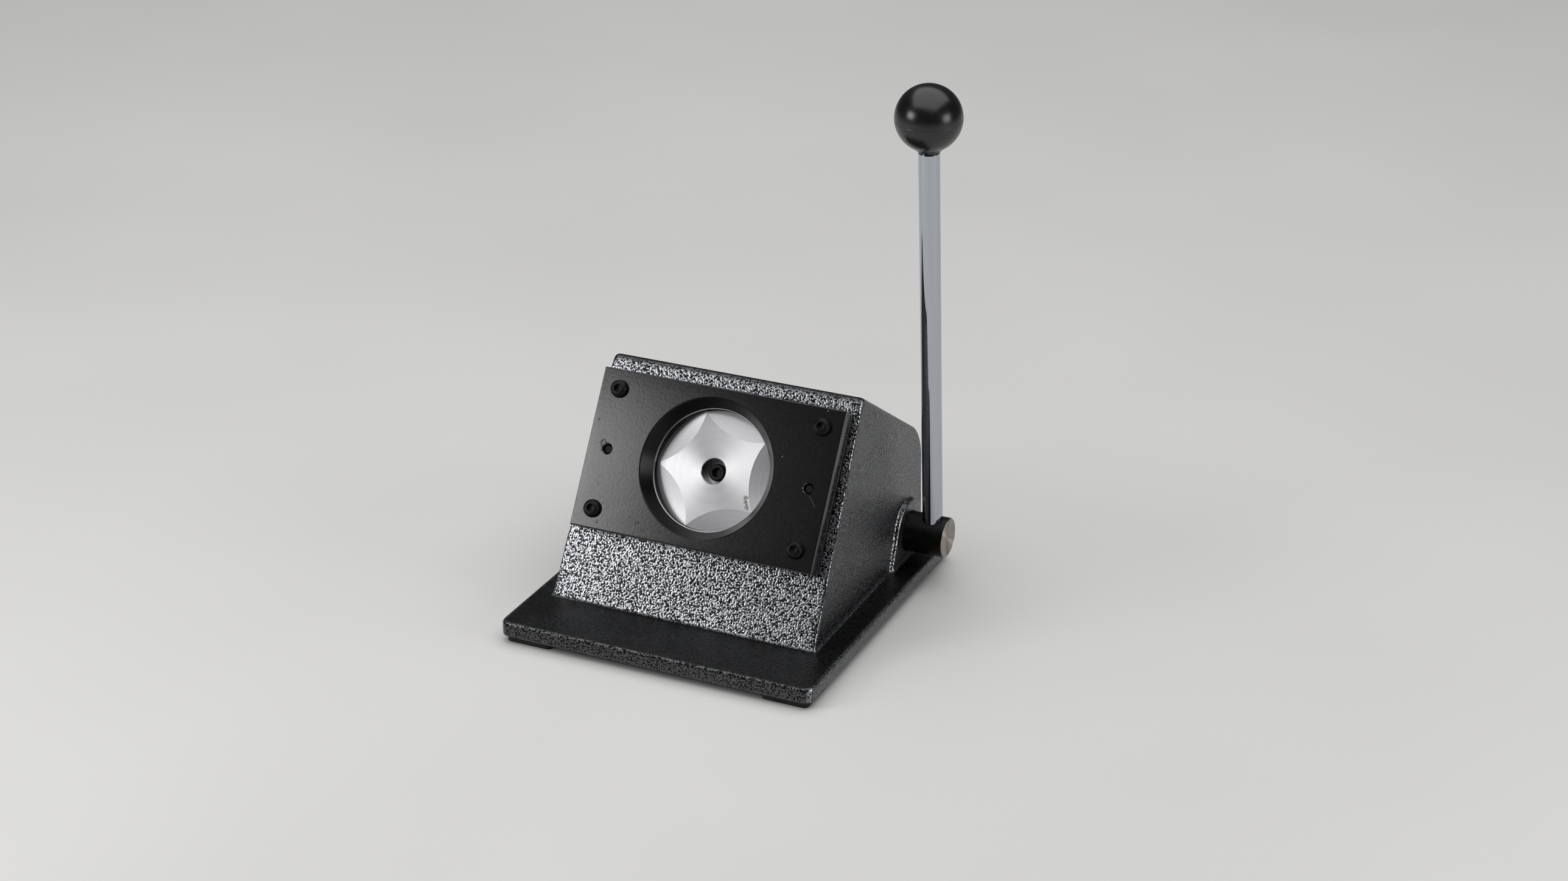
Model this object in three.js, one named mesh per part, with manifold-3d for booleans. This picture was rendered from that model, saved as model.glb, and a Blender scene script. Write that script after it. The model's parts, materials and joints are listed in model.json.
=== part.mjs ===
// A desk-top circle cutter for badge blanks, in millimetres, +Z up.
// It faces -Y, and its lever stands at the +X side. The front face of the body leans back.
// A lever turns a cross shaft, a cam on the shaft pushes a roller, and the roller's ram drives a
// round punch forward through a sheet of paper into the die plate. A coil spring brings it back.

import * as THREE from 'three';
import { mergeVertices } from 'three/addons/utils/BufferGeometryUtils.js';
import Module from 'manifold-3d';

const wasm = await Module();
wasm.setup();

// Facets and clearances
const facetSag = 0.1; // how far a facet may lie inside its true arc
const cutOverrun = 1; // how far a cutter runs past the face that it opens
const seatGap = 0.3; // between two faces that seat on each other
const fitGap = 0.2; // radial, round a fixed pin, bush or tube
const runningGap = 0.1; // radial, round a shaft, a ram or a punch

// Rubber feet
const footSide = 28;
const footHeight = 4;
const footInset = 3; // from the base's edges
const footCornerRadius = 3;
const footEdgeRadius = 0.8;

// Base flange of the casting
const baseWidth = 192;
const baseShift = 2; // its middle, to the right of the hood's
const baseDepth = 213;
const baseThickness = 9.2;
const baseCornerRadius = 6;
const baseEdgeRadius = 1.4;
const baseRear = 34; // rear edge behind the shaft axis

// Hood of the casting
const hoodWidth = 164; // at its foot
const hoodHeight = 125;
const hoodDraft = 3.9; // each side leans in this much over the hood's height
const hoodFrontLip = 41.5; // base in front of the hood's foot
const hoodRear = 27; // rear wall behind the shaft axis
const faceLean = THREE.MathUtils.degToRad(30.5); // front face, back from upright
const roofFall = THREE.MathUtils.degToRad(31.7); // roof, down towards the rear
const ridgeRadius = 4;
const roofRearRadius = 25;
const hoodEdgeRadius = 2.5;
const frontWall = 10;
const hoodWall = 8;
const cavityCornerRadius = 4;

// Openings of the casting that nobody sees from the front
const floorOpeningWidth = 120;
const floorOpeningFrontRim = 20; // floor left behind the hood's front foot
const floorOpeningRearRim = 24; // floor left at the base's rear edge
const floorOpeningRadius = 12;
const windowWidth = 116;
const windowHeight = 44;
const windowSill = 2;
const windowRadius = 10;

// Shaft and its bosses
const shaftRadius = 12;
const shaftHeight = 16.1; // axis above the base's top
const bossRadius = 19.2;
const bossFoot = 26.4; // half the boss's width where it meets the base
const bossProud = 2.2; // beyond the hood's widest side
const bossEdgeRadius = 1;
const innerBossProud = 6.8;
const bushWall = 3;
const bushFlange = 2;
const bushFlangeRim = 3;
const bushSetBack = 4; // outer end, inside the boss's face
const lipGap = 0.3; // radial, round the shaft where the boss hides the bush
const spotFaceGap = 0.8; // round the bush's flange
const shaftLeftProud = 4;
const shaftBeyondLever = 9.8;
const shaftEndChamfer = 0.8;
const shaftEndDish = 1.2; // depth of the turned hollow in the right end
const shaftEndRim = 1.6;
const ringThickness = 1.2;
const ringDepth = 0.8; // groove below the shaft's surface
const ringRim = 3;
const ringMouth = 7;

// Lever
const leverStandOff = 14.5; // beyond the right boss's face
const leverLean = THREE.MathUtils.degToRad(6.7); // forward, at rest
const leverLength = 266.8; // shaft axis to ball centre
const leverTravel = THREE.MathUtils.degToRad(65);
const rodRadius = 6;
const rodSeatDepth = 7; // beyond the shaft's axis
const rodEndChamfer = 0.7;
const knobRadius = 19;
const knobNeckRadius = 8.5;
const knobNeckFoot = 6.4;
const knobNeckLength = 19.4; // ball centre to the neck's end
const knobNeckLip = 0.5;
const spigotRadius = 4;
const spigotLength = 17;
const insertRadius = 5.6;
const insertInset = 1.5;

// Punch
const punchRadius = 35;
const punchHeight = 88; // axis above the hood's foot, measured up the front face
const punchProud = 1.9; // resting face in front of the casting's face
const punchThickness = 16;
const punchStroke = 8;
const punchBoreGap = 1.2;
const punchBackChamfer = 1;
const scallopCount = 5;
const scallopReachShares = 0.655; // of the punch's radius, where a scallop starts
const scallopDepth = 2.6; // at the rim
const scallopSteps = 12;
const starTurn = THREE.MathUtils.degToRad(18); // one tip, anticlockwise from the top
const punchSinkRadius = 7.35;
const punchSinkDepth = 11;
const registerRadius = 9;
const registerDepth = 2;

// Die set
const plateInset = 7; // each side, inside the hood's foot
const plateHeight = 92.7;
const platePause = 4; // space between the casting and the die plate
const plateThickness = 9.4;
const plateCornerRadius = 1;
const plateEdgeChamfer = 0.8;
const leadInRadius = 4; // rounded upper rear edge that lets the paper in
const dieLand = 1.7;
const dieMouthRadius = 40.5;
const dieMouthChamfer = 0.5;
const guidePlateThickness = 2.2;
const spacerWidth = 18;
const plateScrewInsetX = 12; // from the plate's edges
const plateScrewInsetY = 11.35;
const dowelInset = 12.5;
const dowelRadius = 2.5;
const dowelLength = 16;
const dowelSunk = 2;
const dowelChamfer = 0.75;

// Screws of 6 mm thread
const screwRadius = 3;
const screwHoleRadius = 3.3;
const screwTipChamfer = 0.6;
const buttonHeadRadius = 5.25;
const buttonHeadHeight = 3.3;
const buttonFlatRadius = 3;
const buttonSocket = 4; // across the flats
const buttonSocketDepth = 2;
const buttonSteps = 4;
const dieScrewLength = 20;
const capHeadRadius = 5;
const capHeadHeight = 6;
const capHeadChamfer = 0.6;
const capSocket = 5;
const capSocketDepth = 3;
const guideScrewLength = 16;
const punchScrewLength = 18;
const holeBeyondScrew = 1.5;

// Ram and its guide
const ramRadius = 15;
const ramFlangeRadius = 25;
const ramFlangeThickness = 6;
const ramBushWall = 2.5;
const guideScrewStep = 11; // inside the die plate's screws
const guideHeight = 90;
const guideFlange = 8;
const guideCornerRadius = 8;
const guideRecessGap = 1.5; // round the punch
const guideCupWall = 6.5;
const guideEndWall = 8;
const guideHubWall = 3.3;
const guideScrewInset = 10; // from the guide's own edges
const stopGap = 0.5; // left between the washer and the hub at full stroke

// Cam, roller and spring
const camWidth = 12;
const camBaseRadius = 20;
const camHubRadius = 16.2;
const camRunOut = THREE.MathUtils.degToRad(6); // of rise past the end of the lever's travel
const camHeelWrap = THREE.MathUtils.degToRad(52); // of roller that the resting hollow holds
const camHeelGap = 0.3;
const camSteps = 26;
const keyWidth = 8;
const keyHeight = 7;
const keyInShaft = 4;
const keyTurn = THREE.MathUtils.degToRad(45);
const rollerRadius = 10;
const rollerAxleRadius = 4;
const rollerEdgeChamfer = 0.6;
const forkGap = 0.5; // each side of the cam and the roller
const forkBehindAxle = 9;
const forkBeforeRoller = 2;
const axleInset = 0.5;
const circlipThickness = 1.5;
const circlipDepth = 1;
const circlipRim = 3.2;
const circlipMouth = 9;
const circlipLand = 1.7;
const washerThickness = 3;
const washerRim = 1;
const springWireRadius = 1.6;
const springPlay = 0.6; // between the wire and the hub
const springTurns = 6;
const springEndPitch = 3.8;
const springStepsPerTurn = 8;
const springSides = 5;

// Levels and places that follow from the sizes above
const baseTop = footHeight + baseThickness;
const baseFront = baseRear - baseDepth;
const hoodTop = baseTop + hoodHeight;
const hoodFrontFoot = baseFront + hoodFrontLip;
const hoodSink = baseThickness / 2;
const ridgeY = hoodFrontFoot + hoodHeight * Math.tan(faceLean);
const shaftZ = baseTop + shaftHeight;
const bossFace = hoodWidth / 2 + bossProud;
const leverOffset = bossFace + leverStandOff; // from the middle of the body
const innerBossFace = hoodWidth / 2 - hoodWall - innerBossProud;
const up = new THREE.Vector2(Math.sin(faceLean), Math.cos(faceLean)); // up the front face, in Y and Z
const out = new THREE.Vector2(-Math.cos(faceLean), Math.sin(faceLean)); // out of the front face
const faceFoot = new THREE.Vector2(hoodFrontFoot, baseTop);
const faceCentre = faceFoot.clone().addScaledVector(up, punchHeight); // punch axis on the front face
const faceTurn = Math.PI / 2 - faceLean; // turns +Z into the way out of the face
const toShaft = new THREE.Vector2(0, shaftZ).sub(faceCentre);
const shaftBelow = -toShaft.dot(up); // shaft axis below the punch axis, across it
const shaftBehind = -toShaft.dot(out); // shaft axis behind the casting's face, along the punch axis

// Places along the punch axis, counted out of the casting's face at rest
const plateWidth = hoodWidth - 2 * plateInset;
const dieScrewSpacingX = plateWidth - 2 * plateScrewInsetX;
const dieScrewSpacingY = plateHeight - 2 * plateScrewInsetY;
const dowelSpacing = plateWidth - 2 * dowelInset;
const guideScrewSpacingX = dieScrewSpacingX - 2 * guideScrewStep;
const guideScrewSpacingY = guideHeight - 2 * guideScrewInset;
const guideWidth = guideScrewSpacingX + 2 * guideScrewInset;
const punchBack = punchProud - punchThickness;
const ramFront = punchBack - seatGap;
const ramFlangeBack = ramFront - ramFlangeThickness;
const guideFront = -frontWall - seatGap;
const guideRecess = ramFlangeBack - seatGap;
const guideCupBack = guideRecess - guideEndWall;
const rollerDistance = Math.sqrt((camBaseRadius + rollerRadius) ** 2 - shaftBelow ** 2);
const rollerPlace = rollerDistance - shaftBehind;
const forkBottom = rollerPlace + rollerRadius + forkBeforeRoller;
const circlipBack = forkBottom + circlipLand;
const circlipFront = circlipBack + circlipThickness;
const washerBack = circlipFront + seatGap;
const washerFront = washerBack + washerThickness;
const guideHubBack = washerFront + punchStroke + stopGap;
const forkTip = rollerPlace - forkBehindAxle;
const ramBushRadius = ramRadius + runningGap + ramBushWall;
const guideHubRadius = ramBushRadius + fitGap + guideHubWall;
const guideCupRadius = punchRadius + guideRecessGap + guideCupWall;
const springRadius = (guideHubRadius + springPlay + springWireRadius) / Math.cos(Math.PI / springStepsPerTurn);
const washerRadius = springRadius + springWireRadius + washerRim;
const plateBack = platePause;
const plateFront = plateBack + plateThickness;
const spacerThickness = platePause - guidePlateThickness - 3 * seatGap;
const bushBore = shaftRadius + runningGap;
const bushRadius = bushBore + bushWall;
const bushEnd = bossFace - bushSetBack;

// Finishes
const finish = (color, roughness, metalness) => new THREE.MeshStandardMaterial({ color, roughness, metalness });
const hammertone = () => finish(0x4a4c4f, 0.45, 0.5);
const blackPaint = () => finish(0x202123, 0.5, 0.2);
const blackOxide = () => finish(0x17171a, 0.4, 0.7);
const groundSteel = () => finish(0xb9babd, 0.3, 1);
const greySteel = () => finish(0x7d7f83, 0.4, 0.9);
const chrome = () => finish(0xd7dadd, 0.08, 1);
const bronze = () => finish(0xa87b45, 0.4, 0.9);
const brass = () => finish(0xc0a050, 0.3, 1);
const iron = () => finish(0x55565a, 0.6, 0.7);
const springSteel = () => finish(0x3c3e42, 0.35, 0.9);
const blackGloss = () => finish(0x0c0c0d, 0.12, 0);
const rubber = () => finish(0x151515, 0.85, 0);

// Steps of an arc whose facets keep to the sag
function arcSteps(radius, turn) {
  const widest = 2 * Math.acos(Math.max(0, 1 - facetSag / radius));
  return Math.max(1, Math.ceil(Math.abs(turn) / widest));
}

function circleSides(radius) {
  return 4 * arcSteps(radius, Math.PI / 2);
}

function arcPoints(centre, radius, from, turn) {
  const steps = arcSteps(radius, turn);
  const points = [];
  for (let i = 0; i <= steps; i += 1) {
    const angle = from + (turn * i) / steps;
    points.push(new THREE.Vector2(centre.x + radius * Math.cos(angle), centre.y + radius * Math.sin(angle)));
  }
  return points;
}

// An outline through corners { x, y, radius }, with an arc at each corner that has a radius
function rounded(corners) {
  const points = [];
  corners.forEach((corner, i) => {
    const at = new THREE.Vector2(corner.x, corner.y);
    if (!corner.radius) {
      points.push(at);
      return;
    }
    const before = corners[(i + corners.length - 1) % corners.length];
    const after = corners[(i + 1) % corners.length];
    const back = new THREE.Vector2(before.x, before.y).sub(at).normalize();
    const ahead = new THREE.Vector2(after.x, after.y).sub(at).normalize();
    const half = Math.acos(back.dot(ahead)) / 2;
    const centre = back.clone().add(ahead).setLength(corner.radius / Math.sin(half)).add(at);
    const tangent = corner.radius / Math.tan(half);
    const start = back.clone().multiplyScalar(tangent).add(at).sub(centre);
    const end = ahead.clone().multiplyScalar(tangent).add(at).sub(centre);
    points.push(...arcPoints(centre, corner.radius, start.angle(), Math.atan2(start.cross(end), start.dot(end))));
  });
  return new THREE.Shape(points);
}

function rectangle(width, height, radius) {
  const x = width / 2;
  const y = height / 2;
  return rounded([
    { x: -x, y: -y, radius },
    { x, y: -y, radius },
    { x, y, radius },
    { x: -x, y, radius },
  ]);
}

function disc(radius) {
  return new THREE.Shape(arcPoints({ x: 0, y: 0 }, radius, 0, 2 * Math.PI).slice(1));
}

function hexagon(acrossFlats) {
  const corner = acrossFlats / Math.sqrt(3);
  return new THREE.Shape(Array.from({ length: 6 }, (_, i) => {
    const angle = (i * Math.PI) / 3;
    return new THREE.Vector2(corner * Math.cos(angle), corner * Math.sin(angle));
  }));
}

// A plate of the outline, from one height to another along Z
function prism(outline, from, to) {
  return new THREE.ExtrudeGeometry(outline, { depth: to - from, bevelEnabled: false }).translate(0, 0, from);
}

// The same with rounded or, with one step, chamfered edges inside the outline
function softPrism(outline, from, to, edge, steps) {
  const geometry = new THREE.ExtrudeGeometry(outline, {
    depth: to - from - 2 * edge,
    bevelThickness: edge,
    bevelSize: edge,
    bevelOffset: -edge,
    bevelSegments: steps,
  });
  return geometry.translate(0, 0, from + edge);
}

function cylinder(radius, from, to) {
  const geometry = new THREE.CylinderGeometry(radius, radius, to - from, circleSides(radius));
  return geometry.rotateX(Math.PI / 2).translate(0, 0, (from + to) / 2);
}

// A turned piece: [radius, height] pairs, closed on the axis or on themselves, revolved about Z
function turned(profile) {
  const points = profile.map(([radius, height]) => new THREE.Vector2(radius, height));
  if (THREE.ShapeUtils.area(points) < 0) {
    points.reverse();
  }
  if (points[0].x > 0) {
    points.push(points[0].clone());
  }
  const sides = circleSides(Math.max(...points.map((point) => point.x)));
  return new THREE.LatheGeometry(points, sides).rotateX(Math.PI / 2);
}

// Lays a piece that was drawn in X and Y and raised along Z so that it is drawn in Y and Z and runs along X
const acrossBasis = new THREE.Matrix4().makeBasis(
  new THREE.Vector3(0, 1, 0),
  new THREE.Vector3(0, 0, 1),
  new THREE.Vector3(1, 0, 0),
);

function across(geometry) {
  return geometry.applyMatrix4(acrossBasis);
}

function toSolid(geometry) {
  const bare = geometry.clone();
  bare.deleteAttribute('normal');
  bare.deleteAttribute('uv');
  const merged = mergeVertices(bare);
  const index = merged.index.array;
  const triVerts = [];
  for (let i = 0; i < index.length; i += 3) {
    const [a, b, c] = [index[i], index[i + 1], index[i + 2]];
    if (a !== b && b !== c && c !== a) {
      triVerts.push(a, b, c);
    }
  }
  const vertProperties = new Float32Array(merged.attributes.position.array);
  return new wasm.Manifold(new wasm.Mesh({ numProp: 3, vertProperties, triVerts: new Uint32Array(triVerts) }));
}

function toGeometry(solid) {
  const mesh = solid.getMesh();
  const geometry = new THREE.BufferGeometry();
  geometry.setAttribute('position', new THREE.BufferAttribute(mesh.vertProperties, 3));
  geometry.setIndex(new THREE.BufferAttribute(mesh.triVerts, 1));
  const facets = geometry.toNonIndexed();
  facets.computeVertexNormals();
  return facets;
}

function join(...geometries) {
  return toGeometry(geometries.map(toSolid).reduce((whole, piece) => whole.add(piece)));
}

function cut(geometry, ...cutters) {
  return toGeometry(cutters.map(toSolid).reduce((whole, cutter) => whole.subtract(cutter), toSolid(geometry)));
}

// The four places of a rectangle of holes, named as seen from the front
function corners(spacingX, spacingY) {
  return ['lower', 'upper'].flatMap((level, row) => ['left', 'right'].map((side, column) => ({
    name: `${level}_${side}`,
    x: (column - 0.5) * spacingX,
    y: (row - 0.5) * spacingY,
  })));
}

// Narrows a piece upwards as the hood narrows, where halfWidth is its half width at the base's top
function drafted(geometry, halfWidth) {
  const position = geometry.attributes.position;
  for (let i = 0; i < position.count; i += 1) {
    const lean = (hoodDraft * (position.getZ(i) - baseTop)) / hoodHeight;
    position.setX(i, position.getX(i) * (1 - lean / halfWidth));
  }
  return geometry;
}

// Where the line through a along u meets the line through b along v
function meet(a, u, b, v) {
  const along = b.clone().sub(a).cross(v) / u.cross(v);
  return a.clone().addScaledVector(u, along);
}

const faceFrame = new THREE.Matrix4().makeRotationX(faceTurn).setPosition(0, faceCentre.x, faceCentre.y);
const onFace = (geometry) => geometry.applyMatrix4(faceFrame);
const dieHoles = corners(dieScrewSpacingX, dieScrewSpacingY);
const guideHoles = corners(guideScrewSpacingX, guideScrewSpacingY);
const dowelPlaces = [
  { name: 'left', x: -dowelSpacing / 2 },
  { name: 'right', x: dowelSpacing / 2 },
];

function hood() {
  const foot = faceFoot.clone().addScaledVector(up, -hoodSink / Math.cos(faceLean));
  const roofRear = hoodTop - (hoodRear - ridgeY) * Math.tan(roofFall);
  const outline = rounded([
    { x: foot.x, y: foot.y },
    { x: ridgeY, y: hoodTop, radius: ridgeRadius },
    { x: hoodRear, y: roofRear, radius: roofRearRadius },
    { x: hoodRear, y: baseTop - hoodSink },
  ]);
  const solid = across(softPrism(outline, -hoodWidth / 2, hoodWidth / 2, hoodEdgeRadius, 4));
  return drafted(solid, hoodWidth / 2);
}

// The space inside the hood, a wall's thickness within its outline
function hoodSpace() {
  const down = new THREE.Vector2(0, 1);
  const level = new THREE.Vector2(1, 0);
  const roof = new THREE.Vector2(Math.cos(roofFall), -Math.sin(roofFall));
  const underRoof = new THREE.Vector2(ridgeY, hoodTop);
  underRoof.addScaledVector(new THREE.Vector2(-Math.sin(roofFall), -Math.cos(roofFall)), hoodWall);
  const behindFace = faceFoot.clone().addScaledVector(out, -frontWall);
  const rear = new THREE.Vector2(hoodRear - hoodWall, baseTop);
  const frontCorner = meet(behindFace, up, rear, level);
  const topCorner = meet(behindFace, up, underRoof, roof);
  const rearCorner = meet(underRoof, roof, rear, down);
  const outline = rounded([
    { x: frontCorner.x, y: frontCorner.y },
    { x: topCorner.x, y: topCorner.y, radius: cavityCornerRadius },
    { x: rearCorner.x, y: rearCorner.y, radius: roofRearRadius - hoodWall },
    { x: rear.x, y: rear.y },
  ]);
  const half = hoodWidth / 2 - hoodWall;
  return drafted(across(softPrism(outline, -half, half, hoodEdgeRadius, 2)), half);
}

// A boss with a round top round the shaft, whose straight flanks spread down to the base
function bossBar() {
  const reach = Math.hypot(bossFoot, shaftHeight);
  const flank = Math.atan2(shaftHeight, bossFoot) + Math.asin(bossRadius / reach);
  const spread = hoodSink / Math.tan(flank);
  const from = Math.PI / 2 - flank;
  const outline = new THREE.Shape([
    new THREE.Vector2(bossFoot + spread, baseTop - hoodSink),
    ...arcPoints({ x: 0, y: shaftZ }, bossRadius, from, Math.PI - 2 * from),
    new THREE.Vector2(-bossFoot - spread, baseTop - hoodSink),
  ]);
  return across(softPrism(outline, -bossFace, bossFace, bossEdgeRadius, 2));
}

function baseFlange() {
  const outline = rectangle(baseWidth, baseDepth, baseCornerRadius);
  return softPrism(outline, footHeight, baseTop, baseEdgeRadius, 3).translate(baseShift, baseRear - baseDepth / 2, 0);
}

function floorOpening() {
  const front = hoodFrontFoot + floorOpeningFrontRim;
  const rear = baseRear - floorOpeningRearRim;
  const outline = rectangle(floorOpeningWidth, rear - front, floorOpeningRadius);
  return prism(outline, footHeight - cutOverrun, baseTop + cutOverrun).translate(0, (front + rear) / 2, 0);
}

function rearWindow() {
  const outline = rectangle(windowWidth, windowHeight, windowRadius);
  const solid = prism(outline, -hoodWall - cutOverrun, cutOverrun).rotateX(Math.PI / 2).rotateZ(Math.PI);
  return solid.translate(0, hoodRear, baseTop + windowSill + windowHeight / 2);
}

function shaftBore(radius, reach) {
  return across(cylinder(radius, -reach, reach)).translate(0, 0, shaftZ);
}

// Room for a bush's flange, faced off the inner boss and let a little into the floor
function spotFace(side) {
  const [from, to] = [(side * floorOpeningWidth) / 2 - side * cutOverrun, side * innerBossFace].sort((a, b) => a - b);
  return across(cylinder(bushRadius + bushFlangeRim + spotFaceGap, from, to)).translate(0, 0, shaftZ);
}

function innerBoss(side) {
  const root = hoodWidth / 2 - hoodWall / 2;
  const [from, to] = [side * innerBossFace, side * root].sort((a, b) => a - b);
  return across(cylinder(bossRadius, from, to)).translate(0, 0, shaftZ);
}

// Base, hood and bosses are one iron casting, open below and through a window at the rear
function bodyCasting() {
  const shell = cut(join(baseFlange(), hood(), bossBar()), hoodSpace());
  const dieHoleDepth = dieScrewLength + holeBeyondScrew - plateFront - seatGap;
  const guideHoleDepth = frontWall - (guideScrewLength - guideFlange - 2 * seatGap + holeBeyondScrew / 2);
  const dowelHoleDepth = dowelLength + holeBeyondScrew + dowelSunk - plateFront;
  return cut(
    join(shell, innerBoss(-1), innerBoss(1)),
    floorOpening(),
    rearWindow(),
    shaftBore(bushRadius + fitGap, bushEnd),
    shaftBore(shaftRadius + lipGap, bossFace + cutOverrun),
    spotFace(-1),
    spotFace(1),
    onFace(cylinder(punchRadius + punchBoreGap, -frontWall - cutOverrun, cutOverrun)),
    ...dieHoles.map(({ x, y }) => onFace(cylinder(screwHoleRadius, -dieHoleDepth, cutOverrun).translate(x, y, 0))),
    ...dowelPlaces.map(({ x }) => (
      onFace(cylinder(dowelRadius + fitGap, -dowelHoleDepth, cutOverrun).translate(x, 0, 0)))),
    ...guideHoles.map(({ x, y }) => (
      onFace(cylinder(screwHoleRadius, -frontWall - cutOverrun, -guideHoleDepth).translate(x, y, 0)))),
  );
}

function foot() {
  return softPrism(rectangle(footSide, footSide, footCornerRadius), 0, footHeight, footEdgeRadius, 2);
}

// The cutting edge is the thin land at the back, and the mouth flares so that the blank falls free
function dieOpening() {
  return turned([
    [0, plateBack - cutOverrun],
    [punchRadius + runningGap, plateBack - cutOverrun],
    [punchRadius + runningGap, plateBack + dieLand],
    [dieMouthRadius, plateFront - dieMouthChamfer],
    [dieMouthRadius + dieMouthChamfer + cutOverrun, plateFront + cutOverrun],
    [0, plateFront + cutOverrun],
  ]);
}

// What comes off the plate's upper rear edge to leave it round
function leadIn() {
  const centre = { x: plateHeight / 2 - leadInRadius, y: plateBack + leadInRadius };
  const outline = new THREE.Shape([
    new THREE.Vector2(centre.x, plateBack - cutOverrun),
    ...arcPoints(centre, leadInRadius, -Math.PI / 2, Math.PI / 2),
    new THREE.Vector2(plateHeight / 2 + cutOverrun, centre.y),
    new THREE.Vector2(plateHeight / 2 + cutOverrun, plateBack - cutOverrun),
  ]);
  return across(prism(outline, -plateWidth / 2 - cutOverrun, plateWidth / 2 + cutOverrun));
}

// A dowel's hole with a chamfered mouth at the plate's front
function dowelHole() {
  const radius = dowelRadius + fitGap;
  return turned([
    [0, plateBack - cutOverrun],
    [radius, plateBack - cutOverrun],
    [radius, plateFront - dowelChamfer],
    [radius + dowelChamfer + cutOverrun, plateFront + cutOverrun],
    [0, plateFront + cutOverrun],
  ]);
}

function frontDiePlate() {
  const outline = rectangle(plateWidth, plateHeight, plateCornerRadius);
  const hole = () => cylinder(screwHoleRadius, plateBack - cutOverrun, plateFront + cutOverrun);
  return cut(
    softPrism(outline, plateBack, plateFront, plateEdgeChamfer, 1),
    leadIn(),
    dieOpening(),
    ...dieHoles.map(({ x, y }) => hole().translate(x, y, 0)),
    ...dowelPlaces.map(({ x }) => dowelHole().translate(x, 0, 0)),
  );
}

function rearGuidePlate() {
  const top = seatGap + guidePlateThickness;
  const hole = (radius) => cylinder(radius, -cutOverrun, top + cutOverrun);
  return cut(
    prism(rectangle(plateWidth, plateHeight, plateCornerRadius), seatGap, top),
    hole(punchRadius + runningGap),
    ...dieHoles.map(({ x, y }) => hole(screwHoleRadius).translate(x, y, 0)),
    ...dowelPlaces.map(({ x }) => hole(dowelRadius + fitGap).translate(x, 0, 0)),
  );
}

// A strip at one end of the plates, which keeps the paper slot open
function spacerStrip(side) {
  const from = 2 * seatGap + guidePlateThickness;
  const to = from + spacerThickness;
  const middle = (side * (plateWidth - spacerWidth)) / 2;
  const hole = (radius) => cylinder(radius, from - cutOverrun, to + cutOverrun);
  return cut(
    prism(rectangle(spacerWidth, plateHeight, plateCornerRadius), from, to).translate(middle, 0, 0),
    ...dieHoles.filter(({ x }) => x * side > 0).map(({ x, y }) => hole(screwHoleRadius).translate(x, y, 0)),
    hole(dowelRadius + fitGap).translate((side * dowelSpacing) / 2, 0, 0),
  );
}

// A button-head screw whose head stands on height 0 and whose shank points down
function buttonScrew() {
  const rise = buttonHeadHeight;
  const run = buttonHeadRadius - buttonFlatRadius;
  const dome = Array.from({ length: buttonSteps + 1 }, (_, i) => {
    const angle = (Math.PI / 2) * (i / buttonSteps);
    return [buttonFlatRadius + run * Math.cos(angle), rise * Math.sin(angle)];
  });
  const body = turned([
    [0, -dieScrewLength],
    [screwRadius - screwTipChamfer, -dieScrewLength],
    [screwRadius, screwTipChamfer - dieScrewLength],
    [screwRadius, 0],
    ...dome,
    [0, rise],
  ]);
  return cut(body, prism(hexagon(buttonSocket), rise - buttonSocketDepth, rise + cutOverrun));
}

// A socket-head cap screw whose head stands on height 0 and whose shank points down
function capScrew(length) {
  const body = turned([
    [0, -length],
    [screwRadius - screwTipChamfer, -length],
    [screwRadius, screwTipChamfer - length],
    [screwRadius, 0],
    [capHeadRadius, 0],
    [capHeadRadius, capHeadHeight - capHeadChamfer],
    [capHeadRadius - capHeadChamfer, capHeadHeight],
    [0, capHeadHeight],
  ]);
  return cut(body, prism(hexagon(capSocket), capHeadHeight - capSocketDepth, capHeadHeight + cutOverrun));
}

function dowelPin() {
  return turned([
    [0, -dowelLength],
    [dowelRadius - screwTipChamfer, -dowelLength],
    [dowelRadius, screwTipChamfer - dowelLength],
    [dowelRadius, -screwTipChamfer],
    [dowelRadius - screwTipChamfer, 0],
    [0, 0],
  ]);
}

// A cutter for one hollow-ground scallop: a large wheel, tipped so that it bites deeper towards the rim.
// Neighbours meet in a tip on the rim, which fixes how steep and how round the bite is.
function scallop(turn) {
  const start = punchRadius * scallopReachShares;
  const tipAcross = punchRadius * Math.sin(Math.PI / scallopCount);
  const tipOut = punchRadius * Math.cos(Math.PI / scallopCount);
  const slope = scallopDepth / (punchRadius - start);
  const wheel = tipAcross ** 2 / (2 * slope * (tipOut - start));
  const half = Math.asin((tipAcross + 2 * cutOverrun) / wheel);
  const arc = Array.from({ length: scallopSteps + 1 }, (_, i) => {
    const angle = half * ((2 * i) / scallopSteps - 1);
    return new THREE.Vector2(wheel * Math.sin(angle), wheel * (1 - Math.cos(angle)));
  });
  const top = scallopDepth + 2 * cutOverrun;
  const edge = arc[arc.length - 1].x;
  const outline = new THREE.Shape([...arc, new THREE.Vector2(edge, top), new THREE.Vector2(-edge, top)]);
  const bite = across(prism(outline, -cutOverrun, punchRadius)).rotateY(Math.atan(slope));
  return bite.translate(start, 0, punchProud).rotateZ(turn);
}

function punch() {
  const blank = turned([
    [screwHoleRadius, punchBack + registerDepth + seatGap],
    [registerRadius + fitGap, punchBack + registerDepth + seatGap],
    [registerRadius + fitGap, punchBack],
    [punchRadius - punchBackChamfer, punchBack],
    [punchRadius, punchBack + punchBackChamfer],
    [punchRadius, punchProud],
    [punchSinkRadius, punchProud],
    [punchSinkRadius, punchProud - punchSinkDepth],
    [screwHoleRadius, punchProud - punchSinkDepth],
  ]);
  const step = (2 * Math.PI) / scallopCount;
  const first = Math.PI / 2 + starTurn + step / 2;
  return cut(blank, ...Array.from({ length: scallopCount }, (_, i) => scallop(first + i * step)));
}

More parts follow.
